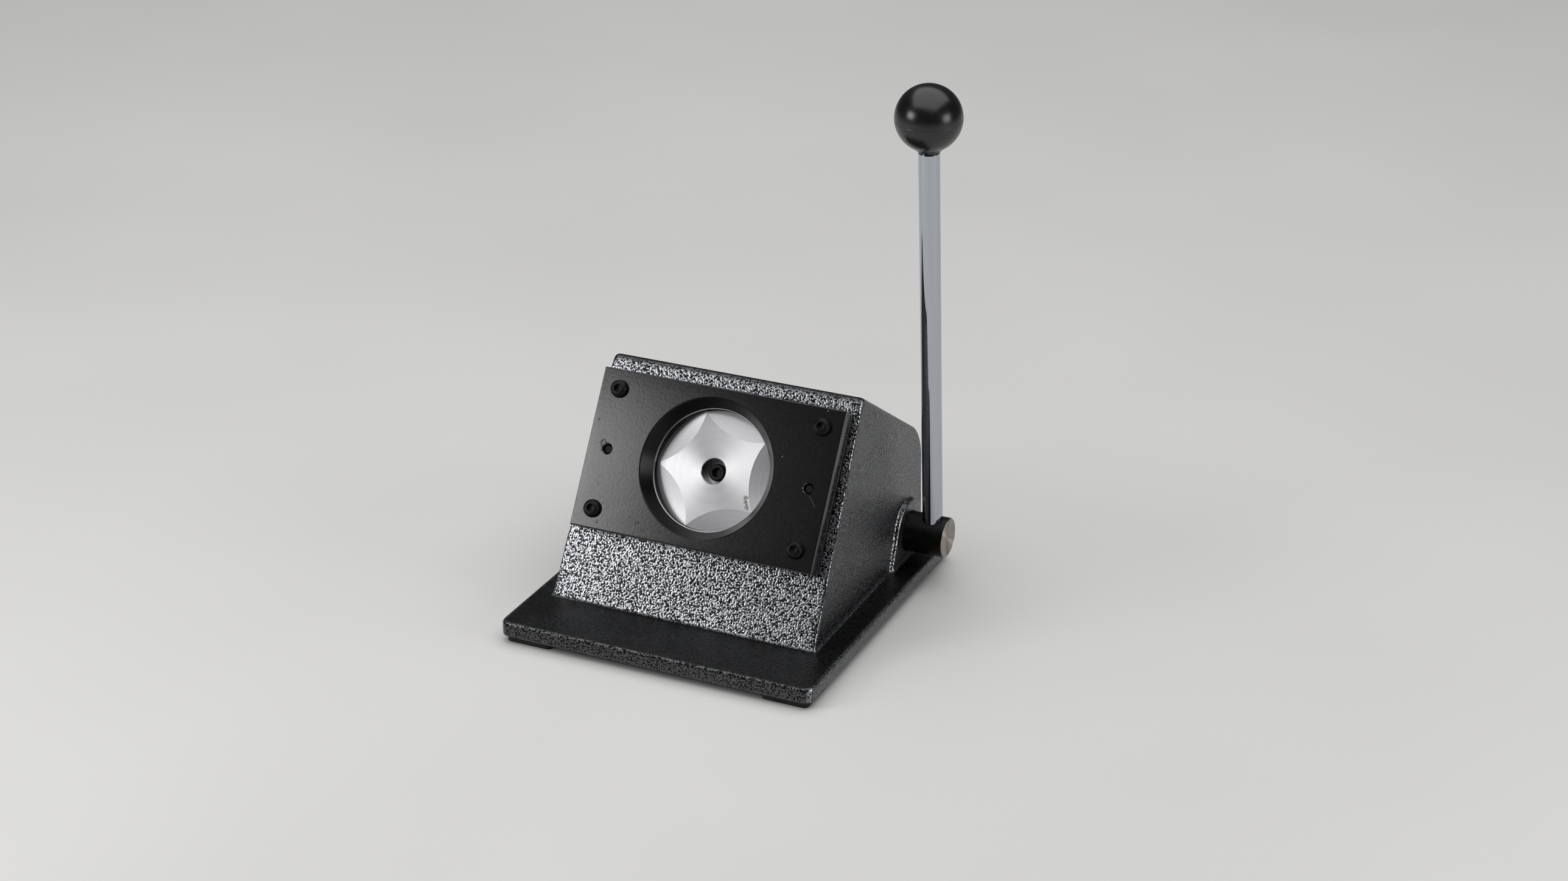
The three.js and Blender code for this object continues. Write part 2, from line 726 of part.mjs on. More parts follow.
// A round bar with a flange for the punch, slotted at the rear for the roller and the cam
function ram() {
  const bar = turned([
    [0, forkTip],
    [ramRadius, forkTip],
    [ramRadius, circlipBack],
    [ramRadius - circlipDepth, circlipBack],
    [ramRadius - circlipDepth, circlipFront],
    [ramRadius, circlipFront],
    [ramRadius, ramFlangeBack],
    [ramFlangeRadius, ramFlangeBack],
    [ramFlangeRadius, ramFront],
    [registerRadius, ramFront],
    [registerRadius, ramFront + registerDepth],
    [0, ramFront + registerDepth],
  ]);
  const slotHalf = camWidth / 2 + forkGap;
  const slot = prism(rectangle(2 * slotHalf, 2 * (ramRadius + cutOverrun), 0), forkTip - cutOverrun, forkBottom);
  const screwEnd = punchProud - punchSinkDepth + seatGap - punchScrewLength - holeBeyondScrew;
  return cut(
    bar,
    slot,
    across(cylinder(rollerAxleRadius + fitGap, -ramRadius - cutOverrun, ramRadius + cutOverrun))
      .translate(0, 0, rollerPlace),
    cylinder(screwHoleRadius, screwEnd, ramFront + registerDepth + cutOverrun),
  );
}

// A flanged cup and hub, bolted behind the front wall, which carries the ram's bush
function ramGuide() {
  const flange = prism(rectangle(guideWidth, guideHeight, guideCornerRadius), guideFront - guideFlange, guideFront);
  const cup = turned([
    [0, guideFront],
    [guideCupRadius, guideFront],
    [guideCupRadius, guideCupBack],
    [guideHubRadius, guideCupBack],
    [guideHubRadius, guideHubBack],
    [0, guideHubBack],
  ]);
  return cut(
    join(flange, cup),
    cylinder(punchRadius + guideRecessGap, guideRecess, guideFront + cutOverrun),
    cylinder(ramBushRadius + fitGap, guideHubBack - cutOverrun, guideRecess + cutOverrun),
    ...guideHoles.map(({ x, y }) => (
      cylinder(screwHoleRadius, guideFront - guideFlange - cutOverrun, guideFront + cutOverrun).translate(x, y, 0))),
  );
}

function sleeve(inner, outer, from, to) {
  return turned([
    [inner, from],
    [outer, from],
    [outer, to],
    [inner, to],
  ]);
}

// A retaining ring of flat strip, open at one side
function openRing(inner, rim, thickness, mouth) {
  const ring = sleeve(inner, inner + rim, 0, thickness);
  const gap = prism(rectangle(mouth, 2 * rim + 2 * inner, 0), -cutOverrun, thickness + cutOverrun);
  return cut(ring, gap.translate(0, inner + rim, 0));
}

function camRoller() {
  const half = camWidth / 2;
  const bore = rollerAxleRadius + runningGap;
  return across(turned([
    [bore, -half],
    [rollerRadius - rollerEdgeChamfer, -half],
    [rollerRadius, rollerEdgeChamfer - half],
    [rollerRadius, half - rollerEdgeChamfer],
    [rollerRadius - rollerEdgeChamfer, half],
    [bore, half],
  ]));
}

// The cam's edge, found by rolling the roller round it. In this plane X is up the face and Y out of it, from the
// shaft's axis. The roller's centre moves straight out, in proportion to the lever's turn.
function camEdge() {
  const risePerTurn = punchStroke / leverTravel;
  const centreAt = (turn) => new THREE.Vector2(shaftBelow, rollerDistance + risePerTurn * turn);
  const origin = new THREE.Vector2();
  const away = (turn) => {
    const centre = centreAt(turn);
    return new THREE.Vector2(centre.x - risePerTurn, centre.y).normalize();
  };
  const rise = Array.from({ length: camSteps + 1 }, (_, i) => {
    const turn = (leverTravel + camRunOut) * (i / camSteps);
    const touch = centreAt(turn).addScaledVector(away(turn), -rollerRadius - runningGap);
    return touch.rotateAround(origin, -turn);
  });
  const touchAngle = away(0).angle() + Math.PI;
  const hollow = arcPoints(centreAt(0), rollerRadius + camHeelGap, touchAngle - camHeelWrap, camHeelWrap);
  return { hollow: hollow.slice(0, -1), rise: rise.slice(1) };
}

// A snail cam: a hollow where the roller rests, then a steady rise
function cam() {
  const { hollow, rise } = camEdge();
  const lobe = new THREE.Shape([new THREE.Vector2(), ...hollow, ...rise]);
  const half = camWidth / 2;
  const blank = join(
    across(prism(disc(camHubRadius), -half, half)),
    across(prism(lobe, -half, half)),
  );
  return cut(
    blank,
    across(cylinder(shaftRadius + fitGap, -half - cutOverrun, half + cutOverrun)),
    keySolid(camWidth + 2 * cutOverrun, fitGap),
  );
}

// The key between cam and shaft, or its groove when it is drawn larger
function keySolid(length, gap) {
  const width = keyWidth + 2 * gap;
  const foot = shaftRadius - keyInShaft - gap;
  const block = prism(rectangle(width, length, 0), foot, foot + keyHeight + 2 * gap);
  return block.rotateZ(Math.PI / 2).rotateX(keyTurn - Math.PI / 2);
}

function leverHole() {
  return cylinder(rodRadius + fitGap, -rodSeatDepth - seatGap, shaftRadius + cutOverrun)
    .rotateX(leverLean)
    .translate(leverOffset, 0, 0);
}

function mainShaft() {
  const left = -bossFace - shaftLeftProud;
  const right = leverOffset + shaftBeyondLever;
  const grooveRight = -bossFace - seatGap;
  const grooveLeft = grooveRight - ringThickness - seatGap;
  const bar = turned([
    [0, left],
    [shaftRadius - shaftEndChamfer, left],
    [shaftRadius, left + shaftEndChamfer],
    [shaftRadius, grooveLeft],
    [shaftRadius - ringDepth, grooveLeft],
    [shaftRadius - ringDepth, grooveRight],
    [shaftRadius, grooveRight],
    [shaftRadius, right - shaftEndChamfer],
    [shaftRadius - shaftEndChamfer, right],
    [shaftRadius - shaftEndRim, right],
    [0, right - shaftEndDish],
  ]);
  return cut(across(bar), leverHole(), keySolid(camWidth, fitGap).rotateX(faceTurn));
}

// The bar is drawn along Z from the shaft's axis, and its lower end sits in the shaft
function leverRod() {
  const foot = -rodSeatDepth;
  const shoulder = leverLength - knobNeckLength - seatGap;
  return turned([
    [0, foot],
    [rodRadius - rodEndChamfer, foot],
    [rodRadius, foot + rodEndChamfer],
    [rodRadius, shoulder - rodEndChamfer],
    [rodRadius - rodEndChamfer, shoulder],
    [spigotRadius, shoulder],
    [spigotRadius, shoulder + spigotLength - rodEndChamfer],
    [spigotRadius - rodEndChamfer, shoulder + spigotLength],
    [0, shoulder + spigotLength],
  ]);
}

// A ball with a short tapered neck, hollow below for the insert and the rod's end
function ballKnob() {
  const neckEnd = -knobNeckLength;
  const insertFoot = neckEnd + insertInset;
  const boreTop = neckEnd + spigotLength + seatGap;
  const mouth = spigotRadius + 2 * fitGap;
  const neckTop = neckEnd + knobNeckRadius - knobNeckFoot;
  const meets = -Math.asin(Math.sqrt(knobRadius ** 2 - knobNeckRadius ** 2) / knobRadius);
  const ball = arcPoints({ x: 0, y: 0 }, knobRadius, meets, Math.PI / 2 - meets).map(({ x, y }) => [x, y]);
  ball[ball.length - 1][0] = 0;
  return turned([
    [0, boreTop],
    [insertRadius + fitGap, boreTop],
    [insertRadius + fitGap, insertFoot],
    [mouth, insertFoot],
    [mouth, neckEnd],
    [knobNeckFoot, neckEnd],
    [knobNeckRadius, neckTop],
    [knobNeckRadius - knobNeckLip, neckTop + knobNeckLip],
    ...ball,
  ]);
}

function knobInsert() {
  const foot = insertInset + seatGap - knobNeckLength;
  const top = spigotLength - knobNeckLength;
  return sleeve(spigotRadius + fitGap, insertRadius, foot, top);
}

// The middle line of a coil spring along Z, whose first and last turns lie closer than the others
class SpringLine extends THREE.Curve {
  constructor(foot, length) {
    super();
    this.foot = foot;
    this.middlePitch = (length - 2 * springEndPitch) / (springTurns - 2);
  }

  getPoint(share, target = new THREE.Vector3()) {
    const turns = share * springTurns;
    const slow = Math.min(turns, 1) + Math.max(0, turns - springTurns + 1);
    const height = slow * springEndPitch + (turns - slow) * this.middlePitch;
    const angle = turns * 2 * Math.PI;
    return target.set(springRadius * Math.cos(angle), springRadius * Math.sin(angle), this.foot + height);
  }
}

function returnSpring() {
  const foot = washerFront + seatGap + springWireRadius;
  const line = new SpringLine(foot, guideCupBack - seatGap - springWireRadius - foot);
  const steps = springTurns * springStepsPerTurn;
  const points = Array.from({ length: steps + 1 }, (_, i) => line.getPoint(i / steps));
  const gaps = points.flatMap((point, i) => (
    points.slice(i + springStepsPerTurn / 2).map((other) => point.distanceTo(other) - 2 * springWireRadius)));
  console.log(`return spring: least gap between turns ${Math.min(...gaps).toFixed(2)} mm`);
  const section = new THREE.Shape(Array.from({ length: springSides }, (_, i) => {
    const angle = (i * 2 * Math.PI) / springSides;
    return new THREE.Vector2(springWireRadius * Math.cos(angle), springWireRadius * Math.sin(angle));
  }));
  return new THREE.ExtrudeGeometry(section, { steps, extrudePath: line, bevelEnabled: false });
}

function part(parent, name, geometry, material, x = 0, y = 0, z = 0) {
  const mesh = new THREE.Mesh(geometry, material);
  mesh.name = name;
  mesh.position.set(x, y, z);
  parent.add(mesh);
  return mesh;
}

const cutter = new THREE.Group();

part(cutter, 'body_casting', bodyCasting(), hammertone());

const footX = baseWidth / 2 - footInset - footSide / 2;
const footFront = baseFront + footInset + footSide / 2;
const footRear = baseRear - footInset - footSide / 2;
for (const [level, y] of [['front', footFront], ['rear', footRear]]) {
  for (const [side, x] of [['left', -footX], ['right', footX]]) {
    part(cutter, `foot_${level}_${side}`, foot(), rubber(), baseShift + x, y);
  }
}

// Everything that lies along the punch axis is set out from the middle of the front face
const face = new THREE.Group();
face.position.set(0, faceCentre.x, faceCentre.y);
face.rotation.x = faceTurn;
cutter.add(face);

part(face, 'front_die_plate', frontDiePlate(), blackPaint());
part(face, 'rear_guide_plate', rearGuidePlate(), blackPaint());
part(face, 'spacer_strip_left', spacerStrip(-1), greySteel());
part(face, 'spacer_strip_right', spacerStrip(1), greySteel());
for (const { name, x, y } of dieHoles) {
  part(face, `die_screw_${name}`, buttonScrew(), blackOxide(), x, y, plateFront + seatGap);
}
for (const { name, x } of dowelPlaces) {
  part(face, `dowel_pin_${name}`, dowelPin(), greySteel(), x, 0, plateFront - dowelSunk);
}
part(face, 'punch', punch(), groundSteel());
part(face, 'punch_screw', capScrew(punchScrewLength), blackOxide(), 0, 0, punchProud - punchSinkDepth + seatGap);
part(face, 'ram', ram(), greySteel());
part(face, 'ram_guide', ramGuide(), iron());
part(face, 'ram_bush', sleeve(ramRadius + runningGap, ramBushRadius, guideHubBack, guideRecess), bronze());
for (const { name, x, y } of guideHoles) {
  const screw = part(face, `guide_screw_${name}`, capScrew(guideScrewLength), blackOxide(), x, y);
  screw.position.z = guideFront - guideFlange - seatGap;
  screw.rotation.y = Math.PI;
}
part(face, 'return_spring', returnSpring(), springSteel());
part(face, 'spring_washer', sleeve(ramRadius + fitGap, washerRadius, washerBack, washerFront), greySteel());
const circlip = openRing(ramRadius - circlipDepth + fitGap, circlipRim, circlipThickness - fitGap, circlipMouth);
part(face, 'ram_circlip', circlip, springSteel(), 0, 0, circlipBack + fitGap / 2);
part(face, 'cam_roller', camRoller(), groundSteel(), 0, 0, rollerPlace);
const axleHalf = ramRadius - axleInset;
part(face, 'roller_axle', across(cylinder(rollerAxleRadius, -axleHalf, axleHalf)), greySteel(), 0, 0, rollerPlace);

// Everything on the cross shaft is set out from the shaft's axis, in the middle of the body
const shaft = new THREE.Group();
shaft.position.set(0, 0, shaftZ);
cutter.add(shaft);

const flangeFace = innerBossFace - seatGap - bushFlange;
const bush = () => turned([
  [bushBore, flangeFace],
  [bushRadius + bushFlangeRim, flangeFace],
  [bushRadius + bushFlangeRim, flangeFace + bushFlange],
  [bushRadius, flangeFace + bushFlange],
  [bushRadius, bushEnd - seatGap],
  [bushBore, bushEnd - seatGap],
]);
const tube = () => sleeve(shaftRadius + fitGap, bushRadius, camWidth / 2 + seatGap, flangeFace - seatGap);
for (const [side, turn] of [['right', 0], ['left', Math.PI]]) {
  part(shaft, `shaft_bush_${side}`, across(bush()).rotateZ(turn), bronze());
  part(shaft, `spacer_tube_${side}`, across(tube()).rotateZ(turn), greySteel());
}
part(shaft, 'main_shaft', mainShaft(), blackOxide());
part(shaft, 'cam', cam().rotateX(faceTurn), greySteel());
part(shaft, 'cam_key', keySolid(camWidth - 2 * fitGap, 0).rotateX(faceTurn), greySteel());
const ring = openRing(shaftRadius - ringDepth + fitGap, ringRim, ringThickness, ringMouth);
part(shaft, 'shaft_circlip', across(ring), springSteel(), -bossFace - 1.5 * seatGap - ringThickness);

const lever = new THREE.Group();
lever.position.x = leverOffset;
lever.rotation.x = leverLean;
shaft.add(lever);
part(lever, 'lever_rod', leverRod(), chrome());
part(lever, 'ball_knob', ballKnob(), blackGloss(), 0, 0, leverLength);
part(lever, 'knob_insert', knobInsert(), brass(), 0, 0, leverLength);

// The origin is under the middle of the whole, on the surface that it stands on
const bounds = new THREE.Box3().setFromObject(cutter);
cutter.position.set(-(bounds.min.x + bounds.max.x) / 2, -(bounds.min.y + bounds.max.y) / 2, -bounds.min.z);
cutter.updateMatrixWorld(true);

// Where the pieces turn and slide, for whoever poses the cutter
cutter.userData.joints = {
  leverPull: { at: shaft.getWorldPosition(new THREE.Vector3()), about: [1, 0, 0], turn: leverTravel },
  ramSlide: { along: [0, out.x, out.y], travel: punchStroke },
  rollerSpin: { at: face.localToWorld(new THREE.Vector3(0, 0, rollerPlace)), about: [1, 0, 0] },
};

export default cutter;
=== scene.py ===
"""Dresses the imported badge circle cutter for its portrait.

The cutter is a small lever press: a hammertone-painted iron casting with a black die plate on its sloped face, a
bright punch behind the plate, and a chromed lever with a black ball on a cross shaft. Sizes are in millimetres and
are turned to metres when a piece is settled in the frame.
"""

import json
import logging
import math
from collections.abc import Callable, Iterable, Iterator, Sequence
from contextlib import contextmanager
from dataclasses import dataclass, field
from enum import Enum
from itertools import pairwise

import bmesh
import bpy
from mathutils import Matrix, Vector

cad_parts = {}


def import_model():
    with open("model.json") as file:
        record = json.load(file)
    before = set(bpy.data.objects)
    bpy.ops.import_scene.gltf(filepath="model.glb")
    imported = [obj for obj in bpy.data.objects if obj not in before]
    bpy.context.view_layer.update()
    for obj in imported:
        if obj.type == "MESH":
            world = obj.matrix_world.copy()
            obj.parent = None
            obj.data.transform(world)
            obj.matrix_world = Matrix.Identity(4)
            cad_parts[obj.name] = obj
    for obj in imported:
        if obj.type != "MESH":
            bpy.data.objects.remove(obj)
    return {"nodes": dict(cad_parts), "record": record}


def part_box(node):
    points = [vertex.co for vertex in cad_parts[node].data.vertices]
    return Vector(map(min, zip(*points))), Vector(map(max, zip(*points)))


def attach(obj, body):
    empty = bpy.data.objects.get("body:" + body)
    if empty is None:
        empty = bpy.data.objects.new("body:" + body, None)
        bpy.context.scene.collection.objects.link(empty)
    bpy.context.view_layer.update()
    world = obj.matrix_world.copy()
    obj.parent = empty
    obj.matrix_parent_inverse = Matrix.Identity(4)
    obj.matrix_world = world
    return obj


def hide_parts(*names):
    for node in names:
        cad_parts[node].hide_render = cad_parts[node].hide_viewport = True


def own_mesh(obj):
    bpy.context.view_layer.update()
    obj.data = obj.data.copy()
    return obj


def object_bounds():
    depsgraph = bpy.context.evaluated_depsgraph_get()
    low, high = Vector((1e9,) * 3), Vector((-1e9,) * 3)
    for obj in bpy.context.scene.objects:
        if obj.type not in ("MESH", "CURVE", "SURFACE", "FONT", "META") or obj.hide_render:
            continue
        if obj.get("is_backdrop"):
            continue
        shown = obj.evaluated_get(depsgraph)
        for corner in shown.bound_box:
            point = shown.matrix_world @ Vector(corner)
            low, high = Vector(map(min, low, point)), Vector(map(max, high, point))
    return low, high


LOG = logging.getLogger("circle_cutter")
MM = 0.001
# Two corners closer than this many millimetres lie at one height.
NEAR = 0.01
# The inputs of a Mix node share their names, so they go by number.
FLOAT_A, FLOAT_B, COLOUR_A, COLOUR_B = 2, 3, 6, 7

Piece = bpy.types.Object
Node = bpy.types.Node
Socket = bpy.types.NodeSocket
Colour = tuple[float, float, float, float]
Point = tuple[float, float]
EdgeTest = Callable[[Vector, Vector], bool]
Inputs = dict[str | int, object]


class Body(Enum):
    """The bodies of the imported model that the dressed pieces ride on."""

    CASTING = "casting_unit"
    LEVER = "lever_unit"
    RAM = "ram_unit"


class Slot(Enum):
    """The material slots of the record."""

    HAMMERTONE = "hammertone"
    BLACK_PAINT = "black_paint"
    BLACK_OXIDE = "black_oxide"
    GROUND_STEEL = "ground_steel"
    GREY_STEEL = "grey_steel"
    CHROME = "chrome_plate"
    BRONZE = "bronze"
    BRASS = "brass"
    IRON = "iron"
    SPRING_STEEL = "spring_steel"
    BLACK_GLOSS = "black_gloss"
    RUBBER = "rubber"


def linear(code: str) -> Colour:
    """Turns an sRGB hex code into a linear colour.

    Args:
        code: Six hex digits with a leading hash.

    Returns:
        The colour as Blender's sockets take it.
    """
    values = [int(code[i : i + 2], 16) / 255 for i in (1, 3, 5)]
    red, green, blue = (v / 12.92 if v <= 0.04045 else ((v + 0.055) / 1.055) ** 2.4 for v in values)
    return red, green, blue, 1.0


def per(size: float) -> float:
    """Returns the scale of a pattern whose features are one size, in millimetres."""
    return 1 / (size * MM)


@dataclass(frozen=True)
class Graph:
    """A node tree being drawn up."""

    tree: bpy.types.NodeTree

    @classmethod
    def of(cls, owner: bpy.types.Material | bpy.types.World) -> "Graph":
        """Clears the node tree of a material or a world.

        Args:
            owner: What the tree belongs to.

        Returns:
            The empty graph.
        """
        owner.use_nodes = True
        owner.node_tree.nodes.clear()
        return cls(owner.node_tree)

    def add(
        self,
        kind: str,
        inputs: Inputs | Sequence[object] = (),
        stops: Sequence[tuple[float, str]] = (),
        **settings: object,
    ) -> Node:
        """Adds a node with its settings and links.

        Args:
            kind: The node's type name, less the start that all shader nodes share.
            inputs: Values, sockets, or nodes whose first live output is meant, in order or by input name or number.
            stops: The places and hex codes of a colour ramp's stops, in order.
            **settings: Properties of the node.

        Returns:
            The new node.
        """
        node = self.tree.nodes.new("ShaderNode" + kind)
        for name, value in settings.items():
            setattr(node, name, value)
        for key, value in inputs.items() if isinstance(inputs, dict) else enumerate(inputs):
            if isinstance(value, Node):
                value = next(output for output in value.outputs if output.enabled)
            if isinstance(value, Socket):
                self.tree.links.new(value, node.inputs[key])
            else:
                node.inputs[key].default_value = value
        for number, (place, code) in enumerate(stops):
            elements = node.color_ramp.elements
            element = elements[number] if number < 2 else elements.new(place)
            element.position = place
            element.color = linear(code)
        return node


@dataclass(frozen=True)
class Finish:
    """A surface finish: what the shader holds all over, and a method that adds its pattern."""

    name: str
    colour: str
    roughness: float
    metallic: float = 0.0

    def build(self) -> bpy.types.Material:
        """Makes the material, or finds it if it was made before.

        Returns:
            The material.
        """
        if self.name in bpy.data.materials:
            return bpy.data.materials[self.name]
        material = bpy.data.materials.new(self.name)
        graph = Graph.of(material)
        plain = {"Base Color": linear(self.colour), "Roughness": self.roughness, "Metallic": self.metallic}
        shader = graph.add("BsdfPrincipled", plain | self.pattern(graph))
        graph.add("OutputMaterial", {"Surface": shader})
        return material

    def pattern(self, graph: Graph) -> Inputs:
        """Returns the shader's inputs that the finish's pattern drives, which are none on a plain finish."""
        return {}


@dataclass(frozen=True)
class HammertoneEnamel(Finish):
    """Sprayed hammertone enamel: aluminium flake in bright plateaus between narrow creases deepened by painted shade.

    The paint lay level and thick on the sloped face, so its pattern is broad there. It is broad on the front of the
    base too, and fine and dark on the sides and the top. Painted light keeps the sloped face bright; painted shade
    darkens the front of the base and, more deeply, the faces that look straight up. On the rounded edges between
    the hood's face and sides, and round the bosses, a painted highlight draws a bright line.
    """

    plateau: str = "#abadb1"
    # The creases' colour: the flake's darker tone there, deepened by painted shade.
    shaded_crease: str = "#161617"
    # The colour of the painted highlight along the rounded edges.
    painted_glint: str = "#dcdee0"
    fine_light: str = "#76787c"
    fine_dark: str = "#0e0f10"
    toward: tuple[float, float, float] = (0, -0.8616, 0.5075)
    broad_mm: float = 1.12
    fine_mm: float = 0.8
    cloud_mm: float = 22
    depth_mm: float = 0.135
    # Painted shade darkens everything in front of this place, which is the front of the base.
    front_mm: float = -103.0
    # The share of the plateaus' brightness left under painted shade: off the sloped face, and on the front of the
    # base.
    painted_shade: float = 0.22

    def pattern(self, graph: Graph) -> Inputs:
        """Adds both patterns, blends them by the way that the surface faces, and paints light, shade and edge
        highlights.

        Args:
            graph: The material's graph.

        Returns:
            The shader's inputs.
        """
        where = graph.add("TexCoord").outputs
        place, normal = where["Object"], where["Normal"]
        facing = graph.add("VectorMath", (normal, self.toward), operation="DOT_PRODUCT")
        broad_share = graph.add("MapRange", (facing, 0.62, 0.82))
        # Painted light: the broad pattern is fully bright only where the surface faces as the sloped face does, and
        # darker elsewhere.
        painted_light_share = graph.add("MapRange", (facing, 0.955, 0.995, self.painted_shade))
        depth = graph.add("SeparateXYZ", (place,)).outputs["Y"]
        # Painted shade: the front of the base is darkened; the highlight lines below are kept off it as well.
        behind = graph.add("MapRange", (depth, (self.front_mm - 1) * MM, self.front_mm * MM, self.painted_shade))
        painted_light_share = graph.add("Math", (painted_light_share, behind), operation="MINIMUM")
        broad = graph.add(
            "TexNoise",
            {"Vector": place, "Scale": per(self.broad_mm), "Detail": 0.6, "Roughness": 0.5, "Distortion": 0.2},
        )
        fine = graph.add("TexNoise", {"Vector": place, "Scale": per(self.fine_mm), "Detail": 0.8, "Roughness": 0.5})
        cloud = graph.add("TexNoise", {"Vector": place, "Scale": per(self.cloud_mm), "Detail": 2.0})
        raised = graph.add("MapRange", (broad, 0.28, 0.72))
        # The creases go dark: partly the flake pattern, partly painted shade in the low places of the relief.
        bright = graph.add("ValToRGB", (raised,), ((0.32, self.shaded_crease), (0.6, self.plateau)))
        bright = graph.add(
            "Mix", {"Factor": 1.0, COLOUR_A: bright, COLOUR_B: painted_light_share}, data_type="RGBA", blend_type="MULTIPLY"
        )
        dark = graph.add("ValToRGB", (fine,), ((0.4, self.fine_dark), (0.62, self.fine_light)))
        tone = graph.add("Mix", {"Factor": broad_share, COLOUR_A: dark, COLOUR_B: bright}, data_type="RGBA")

        # Painted highlight: a bright line on the rounded edges, chosen by which way their normals point, and broken up
        # by the relief.
        slopes = graph.add("SeparateXYZ", (normal,)).outputs
        sideways = graph.add("Math", (slopes["X"],), operation="ABSOLUTE")
        rounded = ((sideways, 0.5, 0.62), (sideways, 0.92, 0.82), (slopes["Y"], -0.16, -0.32), (raised, 0.2, 0.6))
        glint_share = behind
        for mask in rounded:
            glint_share = graph.add("Math", (glint_share, graph.add("MapRange", mask)), operation="MULTIPLY")
        tone = graph.add("Mix", {"Factor": glint_share, COLOUR_A: tone, COLOUR_B: linear(self.painted_glint)}, data_type="RGBA")

        # Painted shade: faces that look straight up are darkened strongly; the cloud adds a random mottle on top of
        # that.
        level = graph.add("VectorMath", (normal, (0, 0, 1)), operation="DOT_PRODUCT")
        settled = graph.add("MapRange", (level, 0.9, 0.99, 0.8, -0.1))
        shade = graph.add("Math", (cloud, 0.4, settled), operation="MULTIPLY_ADD")
        tone = graph.add(
            "Mix", {"Factor": 1.0, COLOUR_A: tone, COLOUR_B: shade}, data_type="RGBA", blend_type="MULTIPLY"
        )
        low = graph.add("MapRange", (fine, 0.28, 0.72, 0.0, 1.4))
        height = graph.add("Mix", {"Factor": broad_share, FLOAT_A: low, FLOAT_B: raised}, data_type="FLOAT")
        relief = graph.add("Bump", {"Height": height, "Strength": 1.0, "Distance": self.depth_mm * MM})
        return {
            "Base Color": tone,
            "Normal": relief,
            "Coat Normal": relief,
            "Coat Weight": 0.15,
            "Coat Roughness": 0.1,
        }


@dataclass(frozen=True)
class SatinEnamel(Finish):
    """Semi-gloss black enamel on ground steel: orange peel and dust nibs, torn into crumbs round a drilled hole."""

    index: float = 1.6
    crumbs: tuple[tuple[Vector, float], ...] = ()
    scratch: tuple[Vector, ...] = ()
    bare_steel: str = "#77787a"
    peel_mm: float = 1.5
    nib_mm: float = 8.0
    rag_mm: float = 0.9
    burr_mm: tuple[float, float] = (0.08, 0.27)
    relief_mm: float = 0.018

    def pattern(self, graph: Graph) -> Inputs:
        """Adds the peel and the nibs, and the crumbs and the scratch where there are any.

        Args:
            graph: The material's graph.

        Returns:
            The shader's inputs.
        """
        place = graph.add("TexCoord").outputs["Object"]
        peel = graph.add("TexNoise", {"Vector": place, "Scale": per(self.peel_mm), "Detail": 2.0})
        cells = graph.add("TexVoronoi", {"Vector": place, "Scale": per(self.nib_mm)})
        nib = graph.add("MapRange", (cells, 0.03, 0.08, 1.0, 0.0))
        chosen = graph.add("Math", (cells.outputs["Color"], 0.6), operation="GREATER_THAN")
        nib = graph.add("Math", (nib, chosen), operation="MULTIPLY")
        gloss = graph.add("MapRange", (peel, 0.0, 1.0, self.roughness - 0.03, self.roughness + 0.04))
        rise = graph.add("Math", (nib, 5.0, peel), operation="MULTIPLY_ADD")
        driven: Inputs = {"IOR": self.index, "Roughness": gloss}
        if self.crumbs:
            rise, bare = self.crumble(graph, place, rise)
            shades = {"Factor": bare, COLOUR_A: linear(self.colour), COLOUR_B: linear(self.bare_steel)}
            driven |= {"Base Color": graph.add("Mix", shades, data_type="RGBA"), "Metallic": bare}
        for start, end in pairwise(self.scratch):
            rise = self.score(graph, place, rise, start, end)
        driven["Normal"] = graph.add("Bump", {"Height": rise, "Strength": 1.0, "Distance": self.relief_mm * MM})
        return driven

    def score(self, graph: Graph, place: Socket, rise: Node, start: Vector, end: Vector) -> Node:
        """Raises the thin burr of one straight scratch.

        Args:
            graph: The material's graph.
            place: The place on the surface.
            rise: The height so far.
            start: Where the scratch starts.
            end: Where it ends.

        Returns:
            The height with the burr on it.
        """
        run = end - start
        arm = graph.add("VectorMath", (place, tuple(start)), operation="SUBTRACT")
        along = graph.add("VectorMath", (arm, tuple(run / run.length_squared)), operation="DOT_PRODUCT")
        share = graph.add("Clamp", (along,))
        foot = graph.add("VectorMath", {0: tuple(run), "Scale": share}, operation="SCALE")
        away = graph.add("VectorMath", (arm, foot), operation="DISTANCE")
        near, far = self.burr_mm
        burr = graph.add("MapRange", (away, near * MM, far * MM, 3.6, 0.0))
        return graph.add("Math", (burr, rise), operation="ADD")

    def crumble(self, graph: Graph, place: Socket, rise: Node) -> tuple[Node, Node]:
        """Raises torn crumbs of paint at the given places.

        Args:
            graph: The material's graph.
            place: The place on the surface.
            rise: The height so far.

        Returns:
            The height with the crumbs on it, and the share of bare steel in the thickest of them.
        """
        near: Node | None = None
        for centre, radius in self.crumbs:
            away = graph.add("VectorMath", (place, tuple(centre)), operation="DISTANCE")
            closeness = graph.add("MapRange", (away, radius * 0.2 * MM, radius * MM, 0.55, 0.0))
            near = graph.add("Math", (closeness, near), operation="MAXIMUM") if near else closeness
        rag = graph.add("TexNoise", {"Vector": place, "Scale": per(self.rag_mm), "Detail": 3.0, "Roughness": 0.65})
        torn = graph.add("Math", (rag, near), operation="ADD")
        crumb = graph.add("MapRange", (torn, 0.84, 0.96, 0.0, 12.0))
        bare = graph.add("MapRange", (torn, 1.12, 1.15))
        return graph.add("Math", (crumb, rise), operation="ADD"), bare


